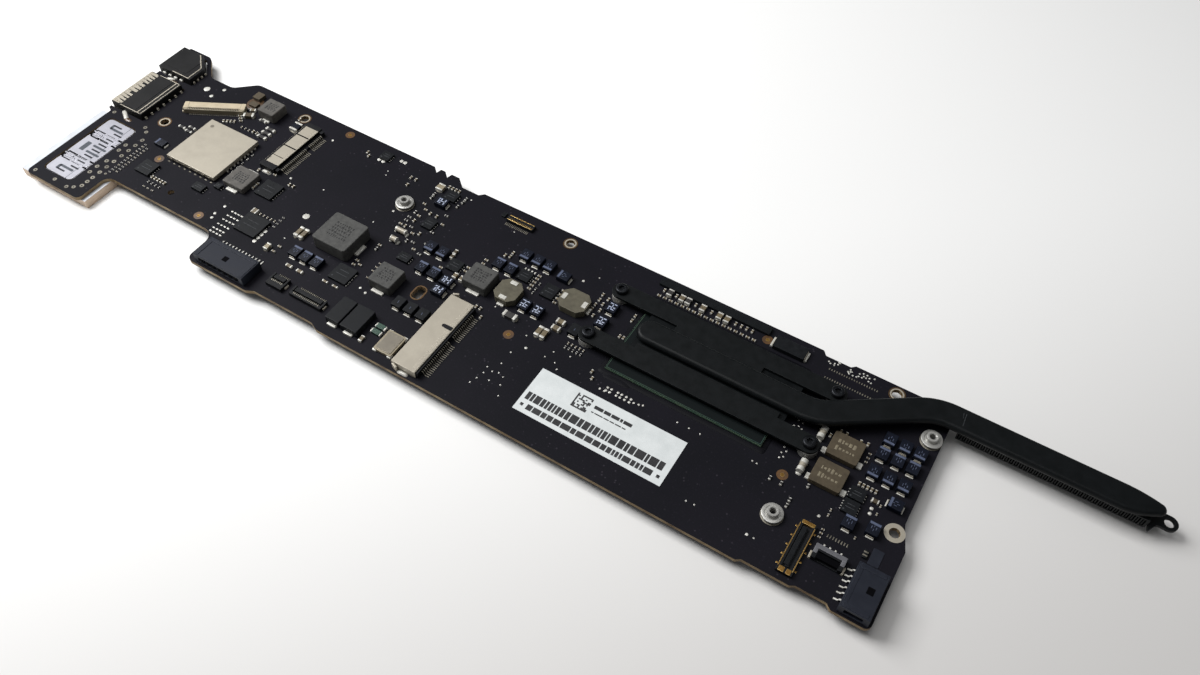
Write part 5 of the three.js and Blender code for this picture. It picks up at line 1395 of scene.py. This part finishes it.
def studio():
    """A flat pale floor with a painted light falloff, fading into a backdrop, soft lights, and the
    photograph's camera.
    """
    lowest = cad_box[0].z / MM - 0.05
    reach = 1600.0
    floor_mesh = bpy.data.meshes.new("floor")
    corners = [(-reach, -reach), (reach, -reach), (reach, reach), (-reach, reach)]
    floor_mesh.from_pydata([(x * MM, y * MM, lowest * MM) for x, y in corners], [], [(0, 1, 2, 3)])
    floor = bpy.data.objects.new("floor", floor_mesh)
    scene.collection.objects.link(floor)
    paper = Shader("floor_paper")
    axes = paper.add("SeparateXYZ", {0: paper.place}).outputs
    # painted light falloff: the paper's colour darkens away from the key light, towards the front and right
    towards_light = paper.math("ADD", axes["Y"], paper.math("MULTIPLY", axes["X"], -1.0))
    painted_falloff = paper.add("MapRange", {"Value": towards_light, "From Min": -210.0, "From Max": 10.0},
                     interpolation_type="SMOOTHSTEP").outputs["Result"]
    painted_light = paper.mix(painted_falloff, tone(212, 210, 208), tone(250, 250, 249))
    # far from the board the paper runs into an evenly pale backdrop, which only the camera sees
    away = paper.add("VectorMath", {0: paper.place}, operation="LENGTH").outputs["Value"]
    seen = paper.add("LightPath").outputs["Is Camera Ray"]
    distant = paper.math("MULTIPLY", paper.ramp(away, 330, 620), seen)
    paper.set(Base_Color=paper.mix(distant, painted_light, tone(0, 0, 0)), Roughness=0.9)
    paper.set(Emission_Color=BACKDROP, Emission_Strength=distant)
    paper.set(Specular_IOR_Level=0.1, Normal=paper.bump(paper.noise(3.0), 0.03, 0.02))
    floor_mesh.materials.append(paper.material)

    world = bpy.data.worlds.new("studio")
    scene.world = world
    world.use_nodes = True
    backdrop = world.node_tree.nodes["Background"]
    backdrop.inputs["Color"].default_value = BACKDROP
    path = world.node_tree.nodes.new("ShaderNodeLightPath")
    brightness = world.node_tree.nodes.new("ShaderNodeMapRange")
    brightness.inputs["To Min"].default_value = 0.14
    brightness.inputs["To Max"].default_value = 1.0
    world.node_tree.links.new(path.outputs["Is Camera Ray"], brightness.inputs["Value"])
    world.node_tree.links.new(brightness.outputs["Result"], backdrop.inputs["Strength"])

    def softbox(name, place, target, size, power):
        data = bpy.data.lights.new(name, "AREA")
        data.shape = "RECTANGLE"
        data.size, data.size_y = size[0] * MM, size[1] * MM
        data.energy = power
        lamp = bpy.data.objects.new(name, data)
        scene.collection.objects.link(lamp)
        lamp.location = Vector(place) * MM
        aim = Vector(target) * MM - lamp.location
        lamp.rotation_euler = aim.to_track_quat("-Z", "Y").to_euler()

    softbox("key", (-400, -30, 480), (0, 0, 0), (360, 360), 4.4)
    softbox("overhead", (-60, -20, 700), (0, 0, 0), (500, 500), 1.5)
    scene.view_settings.view_transform = "Standard"

    yaw, pitch, roll = math.radians(29.46), math.radians(52.67), math.radians(-2.24)
    forward = Vector((-math.cos(pitch) * math.sin(yaw), math.cos(pitch) * math.cos(yaw), -math.sin(pitch)))
    level = Vector((math.cos(yaw), math.sin(yaw), 0))
    below = forward.cross(level)
    right = level * math.cos(roll) + below * math.sin(roll)
    down = -level * math.sin(roll) + below * math.cos(roll)
    data = bpy.data.cameras.new("camera")
    data.lens = 30.10
    data.sensor_width = 36.0
    data.clip_start, data.clip_end = 5 * MM, 10000 * MM
    camera = bpy.data.objects.new("camera", data)
    scene.collection.objects.link(camera)
    rotation = Matrix((right, -down, -forward)).transposed()
    camera.matrix_world = Matrix.Translation(Vector((110.0, -121.5, 189.36)) * MM) @ rotation.to_4x4()
    scene.camera = camera


# --- Assembly -------------------------------------------------------------------------------

bare_board()
board_markings()
limb_lands()
heat_sink()
heat_sink_screws()
standoffs()
ports()
card_slot()
wide_connectors()
display_connector()
power_connectors()
small_connectors()
shield_and_chips()
coils()
sticker_and_foam()
capacitors()
flat_chips()
round_parts()
chip_rows_left()
chip_rows_middle()
chip_rows_right()
underside_chips()
for family, piece_name, slot_name in FAMILY_PIECES:
    kit[family].piece(piece_name, family, slot=slot_name)
studio()
